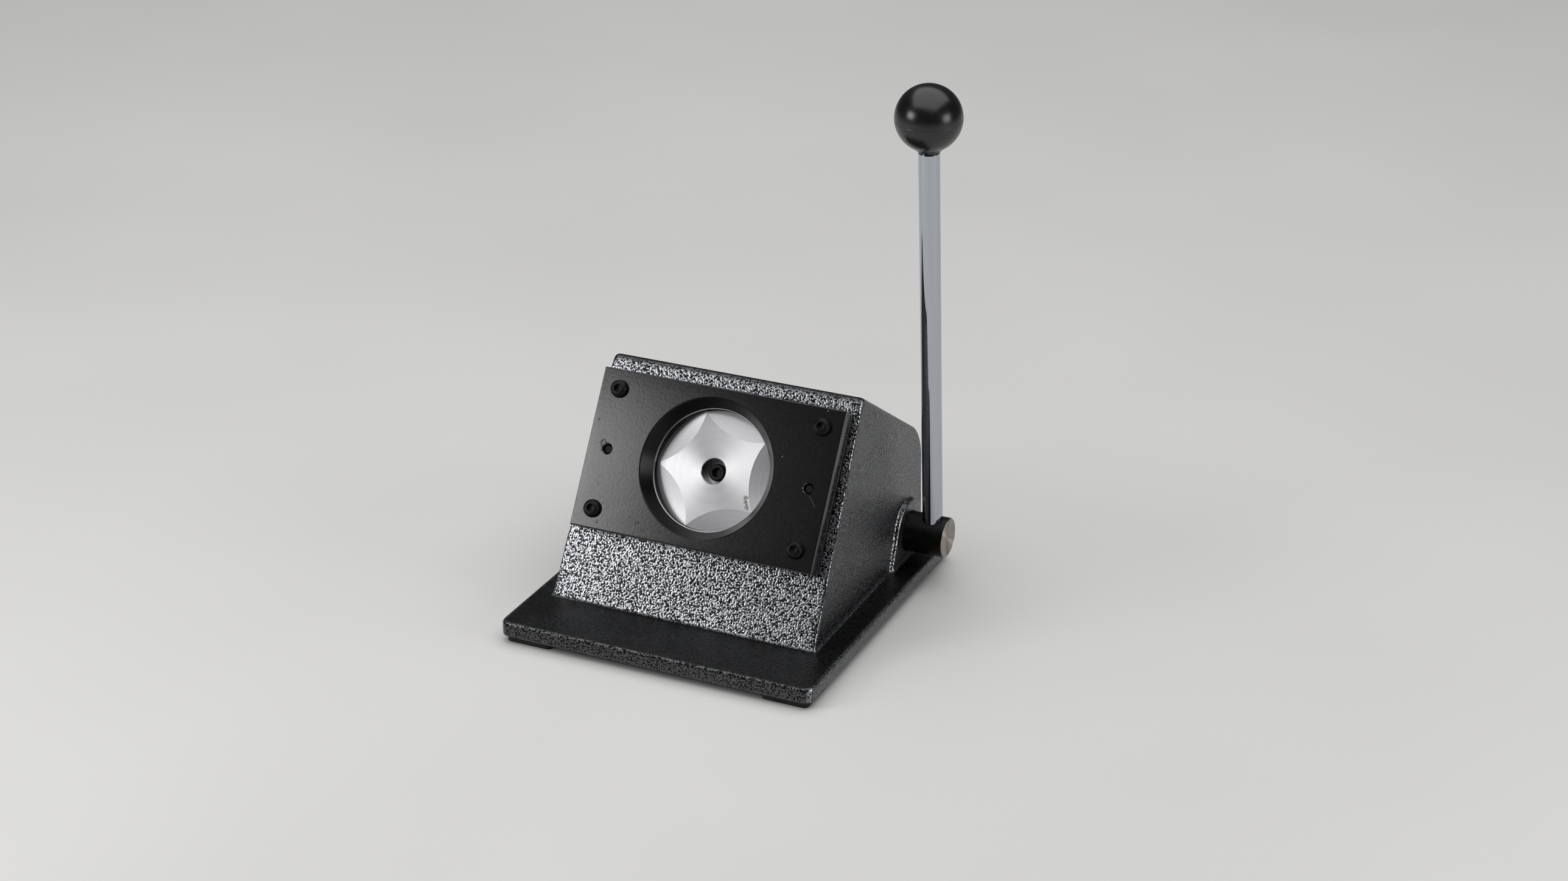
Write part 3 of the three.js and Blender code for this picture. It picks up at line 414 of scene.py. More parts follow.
@dataclass(frozen=True)
class TurnedSteel(Finish):
    """Bright steel cut by a tool that moved round a centre: fine rings that draw the light out into a fan."""

    centre: Vector = field(default_factory=Vector)
    axis: Vector = field(default_factory=lambda: Vector((0, 0, 1)))
    ring_mm: float = 0.35
    sheen: float = 0.65
    contrast: float = 0.12
    stains: tuple[tuple[Vector, float], ...] = ()
    stain: str = "#827e7b"
    band_mm: float = 3.2
    cloud_mm: float = 11
    rag_mm: float = 0.8
    relief_mm: float = 0.012

    def pattern(self, graph: Graph) -> Inputs:
        """Adds the rings, the direction of the scratches, a few broader bands and the stains.

        Args:
            graph: The material's graph.

        Returns:
            The shader's inputs.
        """
        place = graph.add("TexCoord").outputs["Object"]
        axis = tuple(self.axis)
        arm = graph.add("VectorMath", (place, tuple(self.centre)), operation="SUBTRACT")
        along = graph.add("VectorMath", (axis, arm), operation="CROSS_PRODUCT")
        radius = graph.add("VectorMath", (along,), operation="LENGTH")
        outward = graph.add("VectorMath", (along, axis), operation="CROSS_PRODUCT")
        tangent = graph.add("VectorMath", (outward,), operation="NORMALIZE")
        rings, bands = (
            graph.add("TexNoise", {"W": radius, "Scale": per(size), "Detail": 2.0}, noise_dimensions="1D")
            for size in (self.ring_mm, self.band_mm)
        )
        cloud = graph.add("TexNoise", {"Vector": place, "Scale": per(self.cloud_mm), "Detail": 3.0})
        mixed = graph.add("Math", (bands, rings), operation="ADD")
        blend = graph.add("Math", (cloud, mixed), operation="ADD")
        half = self.contrast / 2
        rough = graph.add("MapRange", (blend, 1.0, 2.0, self.roughness - half, self.roughness + half))
        tone = graph.add("MapRange", (mixed, 0.5, 1.5, 0.86, 1.0))
        shades = {"Factor": 1.0, COLOUR_A: linear(self.colour), COLOUR_B: tone}
        colour = graph.add("Mix", shades, data_type="RGBA", blend_type="MULTIPLY")
        rag = graph.add("TexNoise", {"Vector": place, "Scale": per(self.rag_mm), "Detail": 4.0, "Roughness": 0.7})
        for spot, size in self.stains:
            away = graph.add("VectorMath", (place, tuple(spot)), operation="DISTANCE")
            torn = graph.add("Math", (rag, -5 * size * MM, away), operation="MULTIPLY_ADD")
            clean = graph.add("MapRange", (torn, -1.75 * size * MM, -1.3 * size * MM))
            shades = {"Factor": clean, COLOUR_A: linear(self.stain), COLOUR_B: colour}
            colour = graph.add("Mix", shades, data_type="RGBA")
        relief = graph.add("Bump", {"Height": rings, "Strength": 0.5, "Distance": self.relief_mm * MM})
        return {
            "Base Color": colour,
            "Roughness": rough,
            "Tangent": tangent,
            "Anisotropic": self.sheen,
            "Normal": relief,
        }


@dataclass(frozen=True)
class ChromePlate(Finish):
    """Hard chrome on a drawn bar: a mirror with the faintest long waves and a little haze."""

    wave_mm: float = 14
    relief_mm: float = 0.02

    def pattern(self, graph: Graph) -> Inputs:
        """Adds haze and a long, shallow wave along the bar.

        Args:
            graph: The material's graph.

        Returns:
            The shader's inputs.
        """
        place = graph.add("TexCoord").outputs["Object"]
        haze = graph.add("TexNoise", {"Vector": place, "Scale": per(self.wave_mm), "Detail": 4.0})
        rough = graph.add("MapRange", (haze, 0.0, 1.0, self.roughness * 0.6, self.roughness * 1.5))
        relief = graph.add("Bump", {"Height": haze, "Strength": 0.25, "Distance": self.relief_mm * MM})
        return {"Roughness": rough, "Normal": relief}


@dataclass(frozen=True)
class PhenolicResin(Finish):
    """Black phenolic resin, compression-moulded and tumbled to a soft gloss with a trace of ripple."""

    index: float = 1.6
    ripple_mm: float = 7
    wear_mm: float = 16
    relief_mm: float = 0.03

    def pattern(self, graph: Graph) -> Inputs:
        """Adds the ripple and hand wear in the gloss.

        Args:
            graph: The material's graph.

        Returns:
            The shader's inputs.
        """
        place = graph.add("TexCoord").outputs["Object"]
        ripple = graph.add("TexNoise", {"Vector": place, "Scale": per(self.ripple_mm), "Detail": 2.0})
        wear = graph.add("TexNoise", {"Vector": place, "Scale": per(self.wear_mm), "Detail": 5.0})
        rough = graph.add("MapRange", (wear, 0.3, 0.7, self.roughness - 0.03, self.roughness + 0.05))
        relief = graph.add("Bump", {"Height": ripple, "Strength": 0.3, "Distance": self.relief_mm * MM})
        return {"IOR": self.index, "Roughness": rough, "Normal": relief}


@dataclass(frozen=True)
class MouldedRubber(Finish):
    """Black moulded rubber: matt, faintly dusty, with a fine leathery grain."""

    dusty: str = "#2c2b2a"
    grain_mm: float = 0.8
    dust_mm: float = 5
    relief_mm: float = 0.05

    def pattern(self, graph: Graph) -> Inputs:
        """Adds the grain and the dust.

        Args:
            graph: The material's graph.

        Returns:
            The shader's inputs.
        """
        place = graph.add("TexCoord").outputs["Object"]
        grain = graph.add("TexVoronoi", {"Vector": place, "Scale": per(self.grain_mm)})
        dust = graph.add("TexNoise", {"Vector": place, "Scale": per(self.dust_mm), "Detail": 5.0})
        tone = graph.add("ValToRGB", (dust,), ((0.35, self.colour), (0.8, self.dusty)))
        relief = graph.add("Bump", {"Height": grain, "Strength": 0.5, "Distance": self.relief_mm * MM})
        return {"Base Color": tone, "Normal": relief}


@dataclass(frozen=True)
class WorkedMetal(Finish):
    """Plain machined, blacked or cast metal: a cloudy tone, a film of oil or oxide and a grain of real size."""

    shade: str = "#303030"
    grain_mm: float = 0.5
    depth_mm: float = 0.02
    relief: float = 0.7
    cloud_mm: float = 9
    cloud_detail: float = 5.0
    cloud_roughness: float = 0.6
    shade_from: float = 0.32
    colour_from: float = 0.6
    sharper: float = 0.12
    duller: float = 0.12

    def pattern(self, graph: Graph) -> Inputs:
        """Adds the tone's clouds, the uneven gloss and the grain.

        Args:
            graph: The material's graph.

        Returns:
            The shader's inputs.
        """
        place = graph.add("TexCoord").outputs["Object"]
        clouds = {"Detail": self.cloud_detail, "Roughness": self.cloud_roughness}
        cloud = graph.add("TexNoise", {"Vector": place, "Scale": per(self.cloud_mm), **clouds})
        grain = graph.add("TexNoise", {"Vector": place, "Scale": per(self.grain_mm), "Detail": 2.0})
        tone = graph.add("ValToRGB", (cloud,), ((self.shade_from, self.shade), (self.colour_from, self.colour)))
        least = max(0.05, self.roughness - self.sharper)
        gloss = graph.add("MapRange", (cloud, 0.0, 1.0, least, self.roughness + self.duller))
        relief = graph.add("Bump", {"Height": grain, "Strength": self.relief, "Distance": self.depth_mm * MM})
        return {"Base Color": tone, "Roughness": gloss, "Normal": relief}


HAMMERTONE = HammertoneEnamel("hammertone_enamel", "#5a5c5f", 0.27, 0.85)
FLARE_ENAMEL = SatinEnamel("thin_black_enamel", "#040404", 0.28, index=1.36)
CHROME = ChromePlate("hard_chrome", "#b9bdc4", 0.07, 1.0)
RESIN = PhenolicResin("phenolic_resin", "#050505", 0.26)
RUBBER = MouldedRubber("moulded_rubber", "#131313", 0.75)
BRONZE = WorkedMetal("bearing_bronze", "#a87c46", 0.35, 1.0, "#6f4f2c")
BRASS = WorkedMetal("free_cutting_brass", "#c9a750", 0.28, 1.0, "#8f7433")
MILD_STEEL = WorkedMetal("oiled_mild_steel", "#8e9093", 0.36, 1.0, "#55585b")
# Near black: painted shade for the depth of the pins' holes, laid over the pins' own steel.
SHADED_PIN_STEEL = WorkedMetal("pin_steel_painted_shade", "#1c1b1b", 0.5, 0.7, "#0e0e0e")
CAST_IRON = WorkedMetal("raw_cast_iron", "#54565a", 0.55, 0.9, "#2e2f31", grain_mm=1.1, depth_mm=0.09)
SPRING_STEEL = WorkedMetal("oil_tempered_wire", "#3b3d41", 0.34, 0.95, "#202124")
OXIDE_CLOUDS = {"cloud_mm": 6, "cloud_detail": 4.0, "cloud_roughness": 0.5, "shade_from": 0.3, "colour_from": 0.75}
BLACK_OXIDE = WorkedMetal(
    "black_oxide_steel", "#201e1c", 0.36, 0.7, "#0d0c0c", grain_mm=0.4, relief=0.6, sharper=0.08, **OXIDE_CLOUDS
)

SLOT_FINISH: dict[Slot, Finish] = {
    Slot.HAMMERTONE: HAMMERTONE,
    Slot.BLACK_OXIDE: BLACK_OXIDE,
    Slot.BLACK_PAINT: BLACK_OXIDE,
    Slot.GROUND_STEEL: MILD_STEEL,
    Slot.GREY_STEEL: MILD_STEEL,
    Slot.CHROME: CHROME,
    Slot.BRONZE: BRONZE,
    Slot.BRASS: BRASS,
    Slot.IRON: CAST_IRON,
    Slot.SPRING_STEEL: SPRING_STEEL,
    Slot.BLACK_GLOSS: RESIN,
    Slot.RUBBER: RUBBER,
}


def deselect() -> None:
    """Deselects every object."""
    bpy.ops.object.select_all(action="DESELECT")


def take(piece: Piece) -> None:
    """Selects one object alone and makes it active.

    Args:
        piece: The object.
    """
    deselect()
    piece.select_set(True)
    bpy.context.view_layer.objects.active = piece


@contextmanager
def editing(piece: Piece) -> Iterator[None]:
    """Puts one object in edit mode with nothing selected, and leaves edit mode after.

    Args:
        piece: The object.

    Yields:
        Nothing.
    """
    take(piece)
    bpy.ops.object.mode_set(mode="EDIT")
    bpy.ops.mesh.select_mode(type="VERT")
    bpy.ops.mesh.select_all(action="DESELECT")
    yield
    bpy.ops.object.mode_set(mode="OBJECT")


def reshape(piece: Piece, place: Callable[[Vector], Sequence[float]]) -> None:
    """Moves every corner of a piece.

    Args:
        piece: The piece.
        place: Takes a corner and returns where it goes.
    """
    with editing(piece):
        mesh = bmesh.from_edit_mesh(piece.data)
        for vert in mesh.verts:
            vert.co = Vector(place(vert.co))
        bmesh.update_edit_mesh(piece.data)


def at_top(level: float) -> EdgeTest:
    """Picks the edges that lie at a height or above it."""
    return lambda a, b: min(a.z, b.z) > level - NEAR


def at_bottom(level: float) -> EdgeTest:
    """Picks the edges that lie at a height or below it."""
    return lambda a, b: max(a.z, b.z) < level + NEAR


def flat(a: Vector, b: Vector) -> bool:
    """Picks the edges that lie level."""
    return abs(a.z - b.z) < NEAR


def running(axis: int, least: float) -> EdgeTest:
    """Picks the edges that run further along an axis than a length."""
    return lambda a, b: abs(a[axis] - b[axis]) > least


def bevel(piece: Piece, test: EdgeTest, size: float, steps: int) -> None:
    """Rounds the edges whose two ends pass a test, or chamfers them with one step.

    Args:
        piece: The piece.
        test: Takes the two ends of an edge.
        size: How far the round reaches from the edge.
        steps: The facets across the round.
    """
    with editing(piece):
        bpy.ops.mesh.select_mode(type="EDGE")
        mesh = bmesh.from_edit_mesh(piece.data)
        for edge in mesh.edges:
            edge.select_set(test(edge.verts[0].co, edge.verts[1].co))
        bmesh.update_edit_mesh(piece.data)
        bpy.ops.mesh.bevel(offset=size, segments=steps, profile=0.5, affect="EDGES")


def block(low: Sequence[float], high: Sequence[float]) -> Piece:
    """Adds a box.

    Args:
        low: Its lowest corner.
        high: Its highest corner.

    Returns:
        The box.
    """
    deselect()
    middle = [(a + b) / 2 for a, b in zip(low, high)]
    size = [b - a for a, b in zip(low, high)]
    bpy.ops.mesh.primitive_cube_add(size=1, location=middle, scale=size)
    bpy.ops.object.transform_apply(location=True, rotation=True, scale=True)
    return bpy.context.object


def bar(radius: float, low: float, high: float, sides: int = 96) -> Piece:
    """Adds a round bar along Z.

    Args:
        radius: Its radius.
        low: The height of its lower end.
        high: The height of its upper end.
        sides: Facets round it.

    Returns:
        The bar.
    """
    deselect()
    middle = (0, 0, (low + high) / 2)
    bpy.ops.mesh.primitive_cylinder_add(vertices=sides, radius=radius, depth=high - low, location=middle)
    bpy.ops.object.transform_apply(location=True, rotation=True, scale=True)
    return bpy.context.object


def turned(profile: Sequence[Point], sides: int = 96) -> Piece:
    """Turns a profile about Z by drawing it as a chain of edges and spinning it.

    Args:
        profile: Radius and height of each corner, closed on itself or starting and ending on the axis.
        sides: Facets round the piece.

    Returns:
        The turned piece, with its faces pointing outwards.
    """
    deselect()
    bpy.ops.mesh.primitive_plane_add(size=1)
    piece = bpy.context.object
    with editing(piece):
        bpy.ops.mesh.select_all(action="SELECT")
        bpy.ops.mesh.merge(type="CENTER")
        bpy.ops.transform.translate(value=(profile[0][0], 0, profile[0][1]))
        for (r0, z0), (r1, z1) in pairwise(profile):
            bpy.ops.mesh.extrude_vertices_move(TRANSFORM_OT_translate={"value": (r1 - r0, 0, z1 - z0)})
        bpy.ops.mesh.select_all(action="SELECT")
        bpy.ops.mesh.spin(steps=sides, angle=2 * math.pi, center=(0, 0, 0), axis=(0, 0, 1))
        bpy.ops.mesh.select_all(action="SELECT")
        bpy.ops.mesh.remove_doubles(threshold=0.0005)
        bpy.ops.mesh.normals_make_consistent(inside=False)
    return piece


def arc(radius: float, start: float, end: float, steps: int) -> list[Point]:
    """Lists points on an arc round the origin of a profile.

    Args:
        radius: Its radius.
        start: The angle of its first point, in degrees from the radius axis.
        end: The angle of its last point.
        steps: The stretches between its points.

    Returns:
        Radius and height of each point.
    """
    angles = [math.radians(start + (end - start) * i / steps) for i in range(steps + 1)]
    return [(radius * math.cos(a), radius * math.sin(a)) for a in angles]


def move(piece: Piece, place: Matrix) -> Piece:
    """Moves a piece and applies its place to its mesh.

    Args:
        piece: The piece.
        place: The move.

    Returns:
        The piece.
    """
    take(piece)
    piece.matrix_world = place @ piece.matrix_world
    bpy.ops.object.transform_apply(location=True, rotation=True, scale=True)
    return piece


def shift(x: float = 0, y: float = 0, z: float = 0) -> Matrix:
    """Returns a move along the axes."""
    return Matrix.Translation((x, y, z))


def turn_by(degrees: float, axis: str) -> Matrix:
    """Returns a turn about an axis through the origin."""
    return Matrix.Rotation(math.radians(degrees), 4, axis)


def copy_of(piece: Piece) -> Piece:
    """Copies a piece.

    Args:
        piece: The piece.

    Returns:
        The copy, with a mesh of its own.
    """
    twin = piece.copy()
    twin.data = piece.data.copy()
    bpy.context.scene.collection.objects.link(twin)
    return twin


def combine(piece: Piece, others: Sequence[Piece], operation: str) -> Piece:
    """Joins other solids to a piece or cuts them out of it, and removes them.

    Args:
        piece: The piece.
        others: The other solids.
        operation: The Boolean modifier's operation.

    Returns:
        The piece.
    """
    for other in others:
        take(piece)
        modifier = piece.modifiers.new("combine", "BOOLEAN")
        modifier.operation = operation
        modifier.solver = "EXACT"
        modifier.object = other
        bpy.ops.object.modifier_apply(modifier=modifier.name)
        bpy.data.objects.remove(other)
    return piece


def weld(piece: Piece, *others: Piece) -> Piece:
    """Joins other solids to a piece."""
    return combine(piece, others, "UNION")


def carve(piece: Piece, *cutters: Piece) -> Piece:
    """Cuts other solids out of a piece."""
    return combine(piece, cutters, "DIFFERENCE")


def paint(piece: Piece, *finishes: Finish, choose: Callable[[Vector, Vector], int] | None = None) -> Piece:
    """Gives a piece its finishes.

    Args:
        piece: The piece, in its own millimetre frame.
        *finishes: The finishes, the first one for whatever isn't chosen.
        choose: Takes a face's middle and normal and returns the number of its finish.

    Returns:
        The piece.
    """
    piece.data.materials.clear()
    for finish in finishes:
        piece.data.materials.append(finish.build())
    for face in piece.data.polygons:
        face.material_index = choose(face.center, face.normal) if choose else 0
    return piece


def settle(piece: Piece, name: str, place: Matrix, body: Body, slot: Slot, node: str, smooth: float = 32) -> Piece:
    """Puts a finished piece in the frame, on its body and in place of its solid.

    Args:
        piece: The piece, modelled in millimetres.
        name: Its name.
        place: Its place in the frame, in millimetres.
        body: The body that it rides on.
        slot: Not used.
        node: The solid that it stands for.
        smooth: Edges flatter than this many degrees are shaded smooth.

    Returns:
        The piece, at the origin with its place in its mesh.
    """
    move(piece, Matrix.Scale(MM, 4) @ place)
    bpy.ops.object.shade_smooth_by_angle(angle=math.radians(smooth))
    weighted = piece.modifiers.new("flat", "WEIGHTED_NORMAL")
    weighted.keep_sharp = True
    bpy.ops.object.modifier_apply(modifier=weighted.name)
    piece.name = name
    piece.data.name = name
    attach(piece, body.value)
    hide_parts(node)
    LOG.info("%s: %d faces", name, len(piece.data.polygons))
    return piece


def settle_copies(first: Piece, copies: Iterable[tuple[str, str, Matrix]], body: Body, slot: Slot) -> None:
    """Settles a copy of one piece at each of its places, and removes the first.

    Args:
        first: The piece, modelled once.
        copies: The name of each copy, the solid that it stands for and its place.
        body: The body that they ride on.
        slot: The record's slot, passed on to each settle.
    """
    for name, node, place in copies:
        settle(copy_of(first), name, place, body, slot, node)
    bpy.data.objects.remove(first)


@dataclass(frozen=True)
class Layout:
    """The places that the sub-assemblies share, from the middle of the hood and the shaft's axis."""

    middle_x: float
    shaft_y: float
    base_shift: float = 2
    base_rear: float = 34
    shaft_z: float = 29.3
    base_top: float = 13.2
    face_lean: float = 30.5
    front_foot: float = -137.5
    punch_height: float = 88.0
    lever_x: float = 98.7
    lever_lean: float = 6.7

    @classmethod
    def from_frame(cls) -> "Layout":
        """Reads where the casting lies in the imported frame."""
        low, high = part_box("body_casting")
        return cls((low.x + high.x) / 2 / MM - cls.base_shift, high.y / MM - cls.base_rear)

    @property
    def table(self) -> Matrix:
        """The frame with its origin under the shaft."""
        return shift(self.middle_x, self.shaft_y, 0)

    @property
    def shaft(self) -> Matrix:
        """The frame on the shaft's axis, with Z along the shaft to the right and X down."""
        across = Matrix(((0, 0, 1, 0), (0, 1, 0, 0), (-1, 0, 0, 0), (0, 0, 0, 1)))
        return self.table @ shift(0, 0, self.shaft_z) @ across

    @property
    def face(self) -> Matrix:
        """The frame on the sloped face, with Y up the slope and Z out of it along the punch's axis."""
        lean = math.radians(self.face_lean)
        y = self.front_foot + self.punch_height * math.sin(lean)
        z = self.base_top + self.punch_height * math.cos(lean)
        return self.table @ shift(0, y, z) @ turn_by(90 - self.face_lean, "X")

    @property
    def punch_axis(self) -> Vector:
        """The direction out of the sloped face."""
        return (self.face.to_3x3() @ Vector((0, 0, 1))).normalized()

    @property
    def lever(self) -> Matrix:
        """The frame where the lever crosses the shaft, with Z up the lever."""
        return self.table @ shift(self.lever_x, 0, self.shaft_z) @ turn_by(self.lever_lean, "X")

    def on_face(self, x: float, y: float, z: float) -> Vector:
        """Returns a place of the sloped face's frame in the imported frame, in metres."""
        return (self.face @ Vector((x, y, z))) * MM


@dataclass
class Casting:
    """The painted iron casting and its four feet."""

    layout: Layout
    base_width: float = 192
    base_front: float = -179
    base_low: float = 4
    corner: float = 6
    top_edge: float = 1.7
    low_edge: float = 0.9
    foot_side: float = 28
    foot_inset: float = 3
    foot_corner: float = 3
    foot_rim: float = 0.8
    foot_top: float = 0.4
    foot_half: float = 82
    draft: float = 3.9
    height: float = 125
    ridge_y: float = -63.87
    ridge_round: float = 4.1
    rear: float = 27
    rear_round: float = 13.94
    round_fade: float = 25
    long_edge: float = 2.4
    crisp_drift: float = 3.5
    roof_rear: float = 82.05
    front_wall: float = 10
    wall: float = 8
    boss_radius: float = 19.2
    boss_foot: float = 26.4
    boss_face: float = 84.2
    inner_boss: float = 67.2
    inner_root: float = 77
    sink: float = 4.6
    floor_half: float = 60
    floor_inset: float = 20
    floor_rear: float = 10
    floor_round: float = 12
    window_half: float = 58
    window_sill: float = 2
    window_head: float = 46
    window_round: float = 10
    mouth: float = 36.2
    cut_in: float = 20
    cut_out: float = 10
    shaft_bore: float = 12.3
    bush_bore: float = 15.3
    bush_land: float = 4
    flange_bore: float = 18.9
    voxel: float = 0.9
    kept_share: float = 0.3

    def half_at(self, z: float) -> float:
        """Half the hood's width at a height."""
        return self.foot_half - self.draft * (z - self.layout.base_top) / self.height

    def wedge(self, inset: float, front_inset: float, low: float) -> Piece:
        """Models the hood's wedge, or the space inside it when it is drawn smaller.

        Args:
            inset: How far the sides, roof and rear lie inside the hood's.
            front_inset: How far the front face lies inside the hood's.
            low: The height of its underside.

        Returns:
            The wedge, in the frame under the shaft.
        """
        lay = self.layout
        lean = math.radians(lay.face_lean)
        fall = math.atan2(lay.base_top + self.height - self.roof_rear, self.rear - self.ridge_y)
        front = lay.front_foot + front_inset / math.cos(lean)
        rear = self.rear - inset

        def front_y(z: float) -> float:
            """The front face's place at a height."""
            return front + (z - lay.base_top) * math.tan(lean)

        def roof_z(y: float) -> float:
            """The roof's height at a place."""
            return lay.base_top + self.height - inset / math.cos(fall) - (y - self.ridge_y) * math.tan(fall)

        meeting = 1 + math.tan(lean) * math.tan(fall)
        ridge_z = (roof_z(front) + lay.base_top * math.tan(lean) * math.tan(fall)) / meeting
        corners = {
            (-1, -1): (front_y(low), low),
            (1, -1): (rear, low),
            (-1, 1): (front_y(ridge_z), ridge_z),
            (1, 1): (rear, roof_z(rear)),
        }

        def corner(co: Vector) -> tuple[float, float, float]:
            """Where a corner of the unit block goes."""
            y, z = corners[(round(co.y), round(co.z))]
            return round(co.x) * (self.half_at(z) - inset), y, z

        def at_ridge(a: Vector, b: Vector) -> bool:
            """Picks the edge between the face and the roof."""
            return across(a, b) and min(a.z, b.z) > ridge_z - slack

        def at_rear(a: Vector, b: Vector) -> bool:
            """Picks the edge between the roof and the rear wall."""
            return across(a, b) and min(a.y, b.y) > rear - slack and min(a.z, b.z) > low + self.cut_in

        def at_side(a: Vector, b: Vector) -> bool:
            """Picks the sides' edges, but not the two long ones of the face, which drift further and stay crisp."""
            return abs(a.x - b.x) < self.crisp_drift and min(abs(a.x), abs(b.x)) > self.foot_half / 2

        piece = block((-1, -1, -1), (1, 1, 1))
        reshape(piece, corner)
        across, slack = running(0, 2 * self.long_edge), 10 * NEAR
        bevel(piece, at_ridge, self.ridge_round, 6)
        bevel(piece, at_rear, self.rear_round * max(0.2, 1 - inset / self.round_fade), 14)
        bevel(piece, at_side, self.long_edge, 3)
        return piece

    def boss(self) -> Piece:
        """Models the round-topped boss that runs through both side walls.

        Returns:
            The boss, in the frame under the shaft.
        """
        lay = self.layout
        rise = lay.shaft_z - lay.base_top
        flank = math.atan2(rise, self.boss_foot) + math.asin(self.boss_radius / math.hypot(self.boss_foot, rise))
        top = lay.shaft_z + self.boss_radius * math.cos(flank)
        low = lay.base_top - self.sink
        low_half = self.boss_foot + self.sink / math.tan(flank)
        high_half = self.boss_radius * math.sin(flank)
        skirt = block((-self.boss_face, -1, -1), (self.boss_face, 1, 1))
        reshape(
            skirt,
            lambda co: (co.x, round(co.y) * (high_half if co.z > 0 else low_half), top if co.z > 0 else low),
        )
        drum = bar(self.boss_radius, -self.boss_face, self.boss_face, 128)
        return weld(self.along_shaft(drum), skirt)

    def along_shaft(self, piece: Piece, degrees: float = 90) -> Piece:
        """Lays a round piece along the shaft's axis."""
        return move(piece, shift(0, 0, self.layout.shaft_z) @ turn_by(degrees, "Y"))

    def body(self) -> None:
        """Models the whole casting, then softens it as a thickly painted casting is."""
        lay = self.layout
        half = self.base_width / 2
        low, high = lay.base_shift - half, lay.base_shift + half
        base = block((low, self.base_front, self.base_low), (high, lay.base_rear, lay.base_top))
        upright = running(2, 5)
        bevel(base, upright, self.corner, 6)
        bevel(base, at_top(lay.base_top), self.top_edge, 4)
        bevel(base, at_bottom(self.base_low), self.low_edge, 3)
        weld(base, self.wedge(0, 0, lay.base_top - self.sink), self.boss())
        carve(base, self.wedge(self.wall, self.front_wall, lay.base_top))
        for side in (-1, 1):
            weld(base, self.along_shaft(bar(self.boss_radius, self.inner_boss, self.inner_root), 90 * side))
        floor_front = lay.front_foot + self.floor_inset
        floor = block((-self.floor_half, floor_front, 0), (self.floor_half, self.floor_rear, self.cut_in))
        bevel(floor, upright, self.floor_round, 6)
        sill, head = lay.base_top + self.window_sill, lay.base_top + self.window_head
        window = block((-self.window_half, self.floor_rear, sill), (self.window_half, self.rear + self.cut_out, head))
        bevel(window, running(1, 5), self.window_round, 6)
        mouth = bar(self.mouth, -self.cut_in, self.cut_out, 128)
        carve(base, floor, window, move(mouth, lay.table.inverted() @ lay.face))
        self.soften(base)
        bores = (
            (90, self.shaft_bore),
            (self.boss_face - self.bush_land, self.bush_bore),
            (self.inner_boss, self.flange_bore),
        )
        for reach, radius in bores:
            carve(base, self.along_shaft(bar(radius, -reach, reach)))
        paint(base, HAMMERTONE)
        settle(base, "casting", lay.table, Body.CASTING, Slot.HAMMERTONE, "body_casting", 40)

    def soften(self, piece: Piece) -> None:
        """Rounds every edge and inside corner a little, as sand moulding and thick paint do.

        Args:
            piece: The casting before its bores are cut.
        """
        take(piece)
        steps = (
            ("REMESH", {"mode": "VOXEL", "voxel_size": self.voxel}),
            ("SMOOTH", {"factor": 0.5, "iterations": 5}),
            ("DECIMATE", {"ratio": self.kept_share}),
        )
        for kind, settings in steps:
            modifier = piece.modifiers.new(kind.lower(), kind)
            for name, value in settings.items():
                setattr(modifier, name, value)
            bpy.ops.object.modifier_apply(modifier=modifier.name)

    def feet(self) -> None:
        """Models one rubber foot and copies it to the four corners."""
        lay = self.layout
        half = self.foot_side / 2
        first = block((-half, -half, 0), (half, half, self.base_low))
        bevel(first, running(2, 2), self.foot_corner, 5)
        bevel(first, at_bottom(0), self.foot_rim, 3)
        bevel(first, at_top(self.base_low), self.foot_top, 2)
        reach = self.foot_inset + half
        x = self.base_width / 2 - reach
        corners = [
            (f"{row}_{side}", shift(lay.base_shift + sign * x, y, 0))
            for row, y in (("front", self.base_front + reach), ("rear", lay.base_rear - reach))
            for side, sign in (("left", -1), ("right", 1))
        ]
        pads = ((f"pad_{name}", f"foot_{name}", lay.table @ place) for name, place in corners)
        settle_copies(paint(first, RUBBER), pads, Body.CASTING, Slot.RUBBER)

    def build(self) -> None:
        """Builds the casting and its feet."""
        self.body()
        self.feet()


